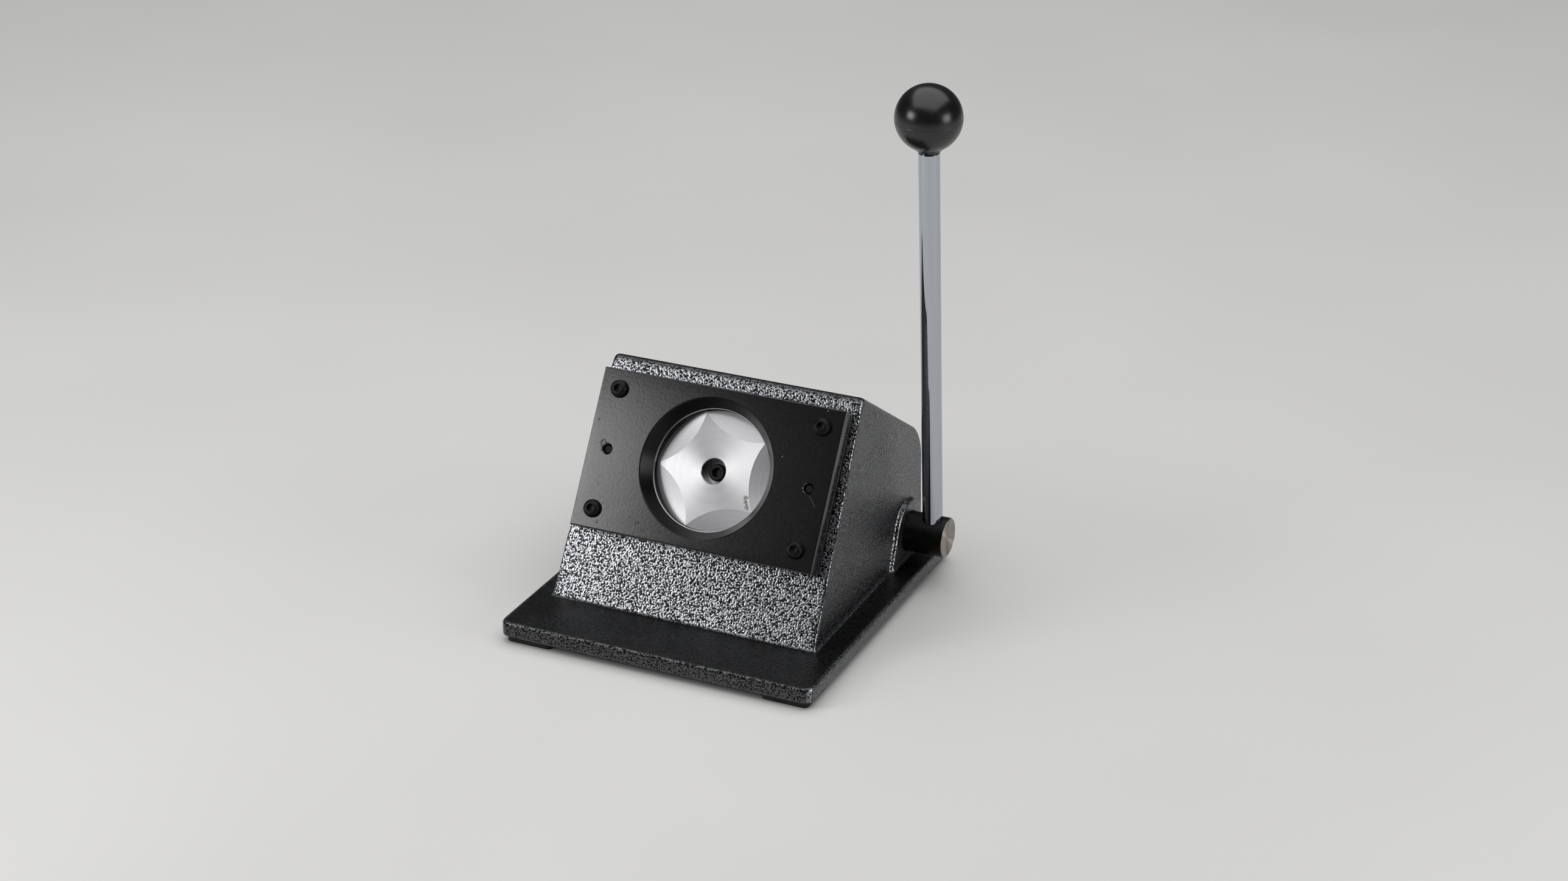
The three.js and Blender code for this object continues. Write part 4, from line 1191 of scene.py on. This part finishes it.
@dataclass
class DieSet:
    """The black die plate, its screws and pins, and the plates that make the paper slot."""

    layout: Layout
    width: float = 150
    height: float = 92.7
    back: float = 4
    front: float = 13.4
    chamfer: float = 0.8
    side_round: float = 0.7
    lead_in: float = 4
    bore: float = 35.1
    land: float = 1.7
    mouth: float = 40.5
    flare_within: float = 55
    over: float = 1
    screw_x: float = 63
    screw_y: float = 35
    screw_hole: float = 3.3
    screw_length: float = 19.5
    thread: float = 3
    head_rise: float = 3.3
    head_flat: float = 2.9
    head_radius: float = 5.25
    socket: float = 4
    socket_depth: float = 2
    seat: float = 0.3
    dowel_x: float = 62.5
    dowel_radius: float = 2.5
    dowel_length: float = 16
    dowel_depth: float = 2
    guide_back: float = 0.3
    guide_front: float = 2.5
    guide_edge: float = 0.3
    strip_width: float = 18
    strip_edge: float = 0.2

    def enamel(self) -> SatinEnamel:
        """Returns the plate's enamel, torn round its left hole and a little elsewhere.

        Returns:
            The finish.
        """
        torn = (
            (-self.dowel_x - 2.6, 2.6, 4.2),
            (-self.dowel_x + 0.4, -0.4, 3.6),
            (self.dowel_x - 0.4, 0.2, 3.4),
            (-self.screw_x + 4, -self.screw_y - 7, 1.8),
            (-34, -self.screw_y - 3, 2.2),
            (-30, -self.screw_y - 6, 1.8),
            (-39.9, 38.6, 1.1),
            (-20.7, 46.2, 1.3),
            (-38.9, -35.8, 1.2),
            (-1.3, -40.9, 1.1),
        )
        line = ((64.1, -4.1), (66.1, -6.2), (69.1, -9.7))
        crumbs = tuple((self.layout.on_face(x, y, self.front), size) for x, y, size in torn)
        scratch = tuple(self.layout.on_face(x, y, self.front) for x, y in line)
        return SatinEnamel("semi_gloss_black_enamel", "#070708", 0.175, crumbs=crumbs, scratch=scratch)

    def opening(self) -> Piece:
        """Models what the flared opening takes out of the plate: the cutting land, the cone and its rounded rim.

        Returns:
            The cutter, on the plate's own axis.
        """
        step = self.back + self.land
        profile = [
            (0, self.back - self.over),
            (self.bore, self.back - self.over),
            (self.bore, step),
            (self.bore + 0.35, step + 0.15),
            (self.mouth - 0.2, self.front - 0.7),
            (self.mouth + 0.1, self.front - 0.35),
            (self.mouth + 0.6, self.front),
            (self.mouth + 1.6, self.front + self.over),
            (0, self.front + self.over),
        ]
        return turned(profile, 192)

    def holes(self) -> list[Piece]:
        """Models what the pin holes, with their flared mouths, and the screw holes take out of the plate.

        Returns:
            The cutters.
        """
        low, high = self.back - self.over, self.front + self.over
        radius = self.dowel_radius + 0.2
        pin_hole = turned([(0, low), (radius, low), (radius, self.front - 0.75), (radius + 1.75, high), (0, high)], 48)
        holes = [move(copy_of(pin_hole), shift(side * self.dowel_x)) for side in (-1, 1)]
        bpy.data.objects.remove(pin_hole)
        for sx in (-1, 1):
            for sy in (-1, 1):
                hole = bar(self.screw_hole, low, high, 32)
                holes.append(move(hole, shift(sx * self.screw_x, sy * self.screw_y)))
        return holes

    def plate(self) -> None:
        """Models the die plate with its flared opening."""
        x, y = self.width / 2, self.height / 2
        piece = block((-x, -y, self.back), (x, y, self.front))
        on_back = at_bottom(self.back)
        bevel(piece, lambda a, b: min(a.y, b.y) > y - NEAR and on_back(a, b), self.lead_in, 8)
        bevel(piece, at_top(self.front), self.chamfer, 2)
        upright = running(2, 3)
        bevel(piece, lambda a, b: upright(a, b) and min(abs(a.x), abs(b.x)) > x - 1, self.side_round, 2)
        opening = self.opening()
        carve(piece, opening, *self.holes())
        centre = self.layout.face.translation * MM
        ground = TurnedSteel("ground_die_land", "#a9abad", 0.3, 1.0, centre, self.layout.punch_axis, 0.3)

        def choose(middle: Vector, normal: Vector) -> int:
            """Picks bare steel for the land, thin enamel for the cone and full enamel elsewhere.

            Args:
                middle: The face's middle.
                normal: Its normal.

            Returns:
                The number of its finish.
            """
            radius = math.hypot(middle.x, middle.y)
            if radius < self.bore + 0.4 and middle.z < self.back + self.land + 0.3:
                return 1
            return 2 if radius < self.flare_within and 0.15 < normal.z < 0.92 else 0

        paint(piece, self.enamel(), ground, FLARE_ENAMEL, choose=choose)
        settle(piece, "die_plate", self.layout.face, Body.CASTING, Slot.BLACK_PAINT, "front_die_plate", 28)

    def screws(self) -> None:
        """Models one button-head screw with its hexagon socket and copies it to the four corners."""
        rise, rim = self.head_rise, self.head_radius
        dome = [
            (self.head_flat + (rim - self.head_flat) * math.cos(math.radians(a)), rise * math.sin(math.radians(a)))
            for a in range(0, 91, 10)
        ]
        end = -self.screw_length
        shank = [(0, end), (self.thread - 0.4, end), (self.thread, end + 0.5), (self.thread, 0), (rim - 0.3, 0)]
        first = turned([*shank, *dome, (0, rise)], 64)
        deep = rise - self.socket_depth
        half = self.socket / 2
        socket = bar(self.socket / math.sqrt(3), deep, rise + 1, 6)
        tip = turned([(0, deep - 1), (half, deep), (half, deep + 0.1), (0, deep + 0.1)], 24)
        lead = turned([(0, rise - 0.5), (half, rise - 0.45), (half + 0.9, rise + 0.45), (0, rise + 0.5)], 48)
        carve(first, socket, tip, lead)
        corners = [
            (f"{level}_{side}", shift(sx * self.screw_x, sy * self.screw_y, self.front + self.seat), 17 * sx + 23 * sy)
            for level, sy in (("lower", -1), ("upper", 1))
            for side, sx in (("left", -1), ("right", 1))
        ]
        screws = (
            (f"button_screw_{name}", f"die_screw_{name}", self.layout.face @ place @ turn_by(spin, "Z"))
            for name, place, spin in corners
        )
        settle_copies(paint(first, BLACK_OXIDE), screws, Body.CASTING, Slot.BLACK_OXIDE)

    def pins(self) -> None:
        """Models the two dowel pins, deep in their holes."""
        radius, end = self.dowel_radius, -self.dowel_length
        first = turned(
            [(0, end), (radius - 0.5, end), (radius, end + 0.6), (radius, -0.5), (radius - 0.4, 0), (0, 0)], 40
        )
        top = self.front - self.dowel_depth
        pins = (
            (f"pin_{side}", f"dowel_pin_{side}", self.layout.face @ shift(sign * self.dowel_x, 0, top))
            for side, sign in (("left", -1), ("right", 1))
        )
        # The pins' near-black finish is painted shade for their holes.
        settle_copies(paint(first, SHADED_PIN_STEEL), pins, Body.CASTING, Slot.GREY_STEEL)

    def guide(self) -> None:
        """Models the guide plate behind the slot and the strips that keep the slot open."""
        face = self.layout.face
        x, y = self.width / 2, self.height / 2
        plate = block((-x, -y, self.guide_back), (x, y, self.guide_front))
        bevel(plate, flat, self.guide_edge, 2)
        carve(plate, bar(self.bore, self.guide_back - self.over, self.guide_front + self.over, 160))
        paint(plate, BLACK_OXIDE)
        settle(plate, "guide_plate", face, Body.CASTING, Slot.BLACK_PAINT, "rear_guide_plate")
        half = self.strip_width / 2
        strip = block((-half, -y, self.guide_front + self.seat), (half, y, self.back - self.seat))
        bevel(strip, flat, self.strip_edge, 2)
        strips = (
            (f"slot_strip_{side}", f"spacer_strip_{side}", face @ shift(sign * (x - half)))
            for side, sign in (("left", -1), ("right", 1))
        )
        settle_copies(paint(strip, MILD_STEEL), strips, Body.CASTING, Slot.GREY_STEEL)

    def build(self) -> None:
        """Builds the die set."""
        self.plate()
        self.screws()
        self.pins()
        self.guide()


@dataclass
class Punch:
    """The bright punch, with its hollow-ground star, and its screw."""

    layout: Layout
    radius: float = 35
    face: float = 1.9
    back: float = -14.1
    back_chamfer: float = 1
    edge: float = 0.08
    screw_hole: float = 3.3
    spigot_radius: float = 9.2
    spigot_depth: float = 2.3
    sink_radius: float = 7.35
    sink_depth: float = 11
    sink_chamfer: float = 0.35
    scallops: int = 5
    wheel: float = 39.8
    wheel_out: float = 62.3
    wheel_over: float = 1.5
    slope: float = 11
    first_tip: float = 110
    stains: tuple[tuple[float, float, float], ...] = (
        (22.9, -11.4, 1.3),
        (23.3, -13.4, 1.0),
        (24.2, -15.2, 0.8),
        (24.6, -16.8, 1.2),
    )
    thread: float = 3
    thread_length: float = 17.5
    head_radius: float = 4.95
    head_height: float = 6
    head_seat: float = 0.3
    knurls: int = 36
    knurl_share: float = 0.965
    socket: float = 5
    socket_floor: float = 3

    def disc(self) -> None:
        """Models the punch and grinds its scallops."""
        face, back, radius = self.face, self.back, self.radius
        sink = face - self.sink_depth
        step = back + self.spigot_depth
        profile = [
            (self.screw_hole, step),
            (self.spigot_radius, step),
            (self.spigot_radius, back),
            (radius - self.back_chamfer, back),
            (radius, back + self.back_chamfer),
            (radius, face - self.edge),
            (radius - self.edge, face),
            (self.sink_radius + self.sink_chamfer, face),
            (self.sink_radius, face - self.sink_chamfer),
            (self.sink_radius, sink),
            (self.screw_hole, sink),
            (self.screw_hole, step),
        ]
        piece = turned(profile, 192)
        slope = math.tan(math.radians(self.slope))
        deep = self.wheel * slope
        reach = self.wheel + self.wheel_over / slope
        centre, axis = self.layout.face.translation * MM, self.layout.punch_axis
        stains = tuple((self.layout.on_face(x, y, face), size) for x, y, size in self.stains)
        finishes = [TurnedSteel("faced_punch_steel", "#cfcfd1", 0.34, 1.0, centre, axis, 0.45, 0.75, 0.1, stains)]
        places = []
        for number in range(self.scallops):
            angle = math.radians(self.first_tip + 360 / self.scallops * (number + 0.5))
            spot = Vector((self.wheel_out * math.cos(angle), self.wheel_out * math.sin(angle), 0))
            wheel = turned([(0, -deep), (reach, self.wheel_over), (0, self.wheel_over)], 256)
            carve(piece, move(wheel, shift(spot.x, spot.y, face)))
            places.append(spot)
            far = self.layout.on_face(*spot)
            finishes.append(TurnedSteel(f"ground_scallop_{number}", "#cfcfd1", 0.44, 1.0, far, axis, 0.8, 0.45, 0.04))

        def choose(middle: Vector, normal: Vector) -> int:
            """Picks the scallop that a gently tilted face belongs to, and the faced steel elsewhere.

            Args:
                middle: The face's middle.
                normal: Its normal.

            Returns:
                The number of its finish.
            """
            if not (math.radians(3) < normal.angle(Vector((0, 0, 1)), 0.0) < math.radians(25)):
                return 0
            spot = Vector((middle.x, middle.y, 0))
            return 1 + min(range(self.scallops), key=lambda number: (spot - places[number]).length)

        paint(piece, *finishes, choose=choose)
        settle(piece, "punch_disc", self.layout.face, Body.RAM, Slot.GROUND_STEEL, "punch", 5)

    def screw(self) -> None:
        """Models the cap screw that holds the punch, with its knurled head and hexagon socket."""
        radius, high, end = self.head_radius, self.head_height, -self.thread_length
        shank = [(0, end), (self.thread - 0.5, end), (self.thread, end + 0.5), (self.thread, 0)]
        head = [(radius, 0), (radius, high - 0.8), (radius - 0.25, high - 0.4), (radius - 0.75, high), (0, high)]
        piece = turned([*shank, *head], 2 * self.knurls)
        pitch = 360 / self.knurls

        def knurl(co: Vector) -> Vector:
            """Draws the head's rim in between two ridges.

            Args:
                co: A corner of the screw.

            Returns:
                Where it goes.
            """
            angle = math.degrees(math.atan2(co.y, co.x)) % pitch
            between = math.hypot(co.x, co.y) > radius - 0.05 and abs(angle - pitch / 2) > 2
            return Vector((co.x * self.knurl_share, co.y * self.knurl_share, co.z)) if between else co

        reshape(piece, knurl)
        half = self.socket / 2
        lead = turned([(0, high - 0.5), (half, high - 0.4), (half + 0.6, high + 0.2), (0, high + 1)], 48)
        carve(piece, bar(self.socket / math.sqrt(3), self.socket_floor, high + 1, 6), lead)
        paint(piece, BLACK_OXIDE)
        seat = self.face - self.sink_depth + self.head_seat
        place = self.layout.face @ shift(0, 0, seat) @ turn_by(12, "Z")
        settle(piece, "punch_cap_screw", place, Body.RAM, Slot.BLACK_OXIDE, "punch_screw")

    def build(self) -> None:
        """Builds the punch and its screw."""
        self.disc()
        self.screw()


@dataclass
class ShaftLine:
    """The cross shaft with its bushes and spacer tubes."""

    layout: Layout
    radius: float = 12
    left: float = -88.2
    right: float = 108.48
    boss_face: float = 84.2
    groove_width: float = 1.5
    groove_depth: float = 0.8
    seat: float = 0.3
    key_turn: float = 45
    key_half: float = 4.2
    key_seat: float = 7.4
    key_length: float = 6
    lever_bore: float = 6.2
    lever_seat: float = 7.3
    dish_depth: float = 1.2
    bush_bore: float = 12.1
    bush_radius: float = 15.1
    flange_radius: float = 18.1
    flange_in: float = 64.9
    flange_width: float = 2
    bush_length: float = 15
    tube_bore: float = 12.2
    tube_radius: float = 15.1
    tube_in: float = 6.3
    tube_out: float = 64.6

    def bar(self) -> None:
        """Models the shaft with its turned end, circlip groove, key seat and cross hole."""
        lay = self.layout
        radius, left, right = self.radius, self.left, self.right
        groove = self.boss_face + self.seat
        floor = radius - self.groove_depth
        profile = [
            (0, left),
            (radius - 0.8, left),
            (radius, left + 0.8),
            (radius, -groove - self.groove_width),
            (floor, -groove - self.groove_width),
            (floor, -groove),
            (radius, -groove),
            (radius, right - 0.9),
            (radius - 0.25, right - 0.35),
            (radius - 0.9, right),
            (radius - 1.6, right - 0.12),
            (1.1, right - self.dish_depth + 0.05),
            (0, right - self.dish_depth),
        ]
        piece = turned(profile, 128)
        hole = move(bar(self.lever_bore, -self.lever_seat, radius + 2, 64), lay.shaft.inverted() @ lay.lever)
        seat = block((-radius - 3, -self.key_half, -self.key_length), (-self.key_seat, self.key_half, self.key_length))
        carve(piece, hole, move(seat, turn_by(self.key_turn - lay.face_lean, "Z")))
        end_centre = (lay.shaft @ Vector((0, 0, right))) * MM
        turned_end = TurnedSteel("turned_shaft_end", "#b4aca6", 0.5, 1.0, end_centre, Vector((1, 0, 0)), 0.4, 0.95)

        def choose(middle: Vector, normal: Vector) -> int:
            """Picks bright steel for the turned end and black oxide elsewhere."""
            return 1 if middle.z > right - 1.3 and normal.z > 0.5 else 0

        paint(piece, BLACK_OXIDE, turned_end, choose=choose)
        settle(piece, "cross_shaft", lay.shaft, Body.LEVER, Slot.BLACK_OXIDE, "main_shaft", 34)

    def sleeves(self) -> None:
        """Models the bronze bushes in the walls and the tubes that keep the cam in the middle."""
        bore, radius, rim = self.bush_bore, self.bush_radius, self.flange_radius
        near, far = self.flange_in, self.flange_in + self.bush_length
        shoulder = near + self.flange_width
        bush = turned(
            [
                (bore, near),
                (rim - 0.5, near),
                (rim, near + 0.5),
                (rim, shoulder),
                (radius, shoulder),
                (radius, far - 0.5),
                (radius - 0.5, far),
                (bore, far),
                (bore, near),
            ]
        )
        bore, radius, near, far = self.tube_bore, self.tube_radius, self.tube_in, self.tube_out
        outside = [(radius - 0.4, near), (radius, near + 0.4), (radius, far - 0.4), (radius - 0.4, far)]
        tube = turned([(bore, near), *outside, (bore, far), (bore, near)])
        paint(bush, BRONZE)
        paint(tube, MILD_STEEL)
        for side, spin in (("right", 0), ("left", 180)):
            place = self.layout.shaft @ turn_by(spin, "Y")
            settle(copy_of(bush), f"bronze_bush_{side}", place, Body.CASTING, Slot.BRONZE, f"shaft_bush_{side}")
            settle(copy_of(tube), f"distance_tube_{side}", place, Body.LEVER, Slot.GREY_STEEL, f"spacer_tube_{side}")
        for spare in (bush, tube):
            bpy.data.objects.remove(spare)

    def build(self) -> None:
        """Builds the shaft and its sleeves."""
        self.bar()
        self.sleeves()


@dataclass
class Lever:
    """The chromed bar and its ball."""

    layout: Layout
    length: float = 266.8
    foot: float = 7
    rod_radius: float = 6
    rod_chamfer: float = 0.7
    tail_radius: float = 4
    tail_length: float = 17
    seat: float = 0.3
    ball_radius: float = 18.94
    neck_end: float = 19.4
    neck_bore: float = 4.4
    neck_radius: float = 6
    socket_radius: float = 5.8
    socket_depth: float = 17.3
    shoulder_radius: float = 8.5
    shoulder_rise: float = 2.1
    mould_line: float = 0.35

    def rod(self) -> None:
        """Models the bar with its chamfered ends and the threaded end inside the ball."""
        top = self.length - self.neck_end - self.seat
        radius, edge = self.rod_radius, self.rod_chamfer
        tail, end = self.tail_radius, top + self.tail_length
        foot = [(0, -self.foot), (radius - edge, -self.foot), (radius, edge - self.foot)]
        head = [(radius, top - edge), (radius - edge, top)]
        thread = [(tail, top), (tail, end - edge), (tail - edge, end), (0, end)]
        piece = paint(turned([*foot, *head, *thread]), CHROME)
        settle(piece, "chrome_bar", self.layout.lever, Body.LEVER, Slot.CHROME, "lever_rod")

    def ball(self) -> None:
        """Models the ball with its tapered neck, socket and faint mould line."""
        neck, wide = -self.neck_end, self.shoulder_radius
        meet = -math.degrees(math.acos(wide / self.ball_radius))
        lower = arc(self.ball_radius, meet, -self.mould_line, 36)
        upper = arc(self.ball_radius, self.mould_line, 90, 44)
        upper[-1] = (0, self.ball_radius)
        shoulder = neck + self.shoulder_rise
        profile = [
            (0, neck + self.socket_depth),
            (self.socket_radius, neck + self.socket_depth),
            (self.socket_radius, neck + 1.5),
            (self.neck_bore, neck + 1.5),
            (self.neck_bore, neck),
            (self.neck_radius, neck),
            (self.neck_radius + 0.4, neck + 0.25),
            (wide - 0.3, shoulder - 0.2),
            (wide, shoulder + 0.05),
            (wide - 0.05, shoulder + 0.3),
            (wide - 0.45, shoulder + 0.5),
            *lower,
            (self.ball_radius - 0.05, 0),
            *upper,
        ]
        piece = paint(turned(profile, 128), RESIN)
        place = self.layout.lever @ shift(0, 0, self.length)
        settle(piece, "ball", place, Body.LEVER, Slot.BLACK_GLOSS, "ball_knob", 24)

    def build(self) -> None:
        """Builds the bar and the ball."""
        self.rod()
        self.ball()


@dataclass
class ReturnSpring:
    """The coil spring between the guide and the washer."""

    layout: Layout
    wire: float = 1.6
    turns: float = 6
    end_pitch: float = 3.8
    low: float = -61.2
    high: float = -27.0
    coil_radius: float = 24.8
    steps: int = 40
    travel: float = 8

    def height_at(self, turns: float) -> float:
        """Gives the wire's height after some turns, which lie closer at both ends.

        Args:
            turns: The turns from the lower end.

        Returns:
            The height of the wire's middle.
        """
        slow = min(turns, 1) + max(0, turns - self.turns + 1)
        middle = (self.high - self.low - 2 * self.wire - 2 * self.end_pitch) / (self.turns - 2)
        return self.low + self.wire + slow * self.end_pitch + (turns - slow) * middle

    def coil(self) -> Piece:
        """Models the coil as one round wire.

        Returns:
            The coil, on the punch's axis.
        """
        curve = bpy.data.curves.new("coil", "CURVE")
        curve.dimensions = "3D"
        curve.bevel_depth = self.wire
        curve.bevel_resolution = 4
        curve.use_fill_caps = True
        line = curve.splines.new("POLY")
        line.points.add(round(self.turns * self.steps))
        for number, point in enumerate(line.points):
            angle = 2 * math.pi * number / self.steps
            place = self.coil_radius * math.cos(angle), self.coil_radius * math.sin(angle)
            point.co = (*place, self.height_at(number / self.steps), 1)
        piece = bpy.data.objects.new("coil", curve)
        bpy.context.scene.collection.objects.link(piece)
        take(piece)
        bpy.ops.object.convert(target="MESH")
        return bpy.context.object

    def build(self) -> None:
        """Builds the coil and settles it on the casting with a mesh of its own."""
        piece = paint(self.coil(), SPRING_STEEL)
        face = self.layout.face
        settle(piece, "coil_spring", face, Body.CASTING, Slot.SPRING_STEEL, "return_spring", 60)
        anchor = self.layout.on_face(0, 0, self.high)
        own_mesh(piece)


@dataclass(frozen=True)
class SoftBox:
    """A rectangular soft box, placed from the point under the shaft.

    Its radiance says how bright its face is, where 1 is a white wall in full light.
    """

    name: str
    place: tuple[float, float, float]
    aim: tuple[float, float, float]
    width: float
    height: float
    radiance: float

    def hang(self, table: Matrix) -> None:
        """Hangs the box and turns it to what it lights.

        Args:
            table: The frame with its origin under the shaft.
        """
        light = bpy.data.lights.new(self.name, "AREA")
        light.shape = "RECTANGLE"
        light.size, light.size_y = self.width * MM, self.height * MM
        light.energy = self.radiance * math.pi * light.size * light.size_y
        lamp = bpy.data.objects.new(self.name, light)
        bpy.context.scene.collection.objects.link(lamp)
        place, aim = Vector(self.place), Vector(self.aim)
        lamp.location = table @ place * MM
        lamp.rotation_euler = (aim - place).to_track_quat("-Z", "Y").to_euler()


@dataclass
class Studio:
    """A pale floor, soft boxes and the camera."""

    layout: Layout
    floor_metres: float = 16
    boxes: tuple[SoftBox, ...] = (
        SoftBox("key_box", (-705, -859, 554), (-40, -93, 89), 440, 344, 5.9),
        SoftBox("side_box", (1500, -200, 500), (60, -40, 100), 620, 480, 3.8),
        SoftBox("top_box", (0, 0, 2600), (0, 0, 0), 4400, 4400, 1.4),
    )
    camera_place: tuple[float, float, float] = (629.15, -1434.82, 765.21)
    camera_right: tuple[float, float, float] = (0.91384, 0.40585, 0.01329)
    camera_up: tuple[float, float, float] = (-0.17550, 0.36524, 0.91422)
    camera_back: tuple[float, float, float] = (0.36618, -0.83779, 0.40500)
    sensor_width: float = 36
    focal_length: float = 65.96

    def floor(self) -> None:
        """Lays a wide pale floor."""
        deselect()
        bpy.ops.mesh.primitive_plane_add(size=self.floor_metres, location=(0, 0, 0))
        floor = bpy.context.object
        floor.name = "studio_floor"
        material = bpy.data.materials.new("pale_floor")
        graph = Graph.of(material)
        place = graph.add("TexCoord").outputs["Object"]
        cloud = graph.add("TexNoise", {"Vector": place, "Scale": 3.0, "Detail": 2.0})
        tone = graph.add("ValToRGB", (cloud,), ((0.3, "#dddcda"), (0.7, "#e2e1df")))
        shader = graph.add("BsdfPrincipled", {"Base Color": tone, "Roughness": 0.9, "Specular IOR Level": 0.1})
        graph.add("OutputMaterial", {"Surface": shader})
        floor.data.materials.append(material)
        floor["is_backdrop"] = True

    def air(self) -> None:
        """Lights the air round the cutter evenly."""
        world = bpy.data.worlds.new("studio_air")
        bpy.context.scene.world = world
        graph = Graph.of(world)
        air = graph.add("Background", {"Color": linear("#c9ccd0"), "Strength": 0.14})
        graph.add("OutputWorld", {"Surface": air})

    def camera(self) -> None:
        """Sets the camera where the photograph was taken from."""
        place = self.layout.table @ Vector(self.camera_place) * MM
        lens = bpy.data.cameras.new("portrait")
        lens.sensor_width = self.sensor_width
        lens.lens = self.focal_length
        camera = bpy.data.objects.new("portrait", lens)
        bpy.context.scene.collection.objects.link(camera)
        turn = Matrix((self.camera_right, self.camera_up, self.camera_back)).transposed().to_4x4()
        camera.matrix_world = Matrix.Translation(place) @ turn
        bpy.context.scene.camera = camera

    def build(self) -> None:
        """Builds the studio."""
        self.floor()
        self.air()
        for box in self.boxes:
            box.hang(self.layout.table)
        self.camera()


def dress_remaining(frame: dict) -> None:
    """Gives every solid that still shows the finish of its slot.

    Args:
        frame: The loaded frame.
    """
    slots = {row["node"]: row["material_slot"] for row in frame["record"]["subparts"]}
    for name, node in frame["nodes"].items():
        if node.hide_render:
            continue
        finish = SLOT_FINISH[Slot(slots[name])]
        node.data.materials.clear()
        node.data.materials.append(finish.build())
        LOG.info("%s keeps its solid in %s", name, finish.name)


def corners(box: tuple[Vector, Vector]) -> list[list[float]]:
    """Turns a box's two corners into plain lists."""
    return [list(corner) for corner in box]


def main() -> None:
    """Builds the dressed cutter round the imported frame."""
    logging.basicConfig(level=logging.INFO, format="%(name)s: %(message)s")
    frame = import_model()
    cad_box = corners(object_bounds())
    layout = Layout.from_frame()
    for assembly in (Casting, DieSet, Punch, ShaftLine, Lever, ReturnSpring, Studio):
        assembly(layout).build()
    dress_remaining(frame)
    bpy.context.scene.view_settings.view_transform = "Standard"
    {"cad": cad_box, "visual": corners(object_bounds())}


if __name__ == "__main__":
    main()
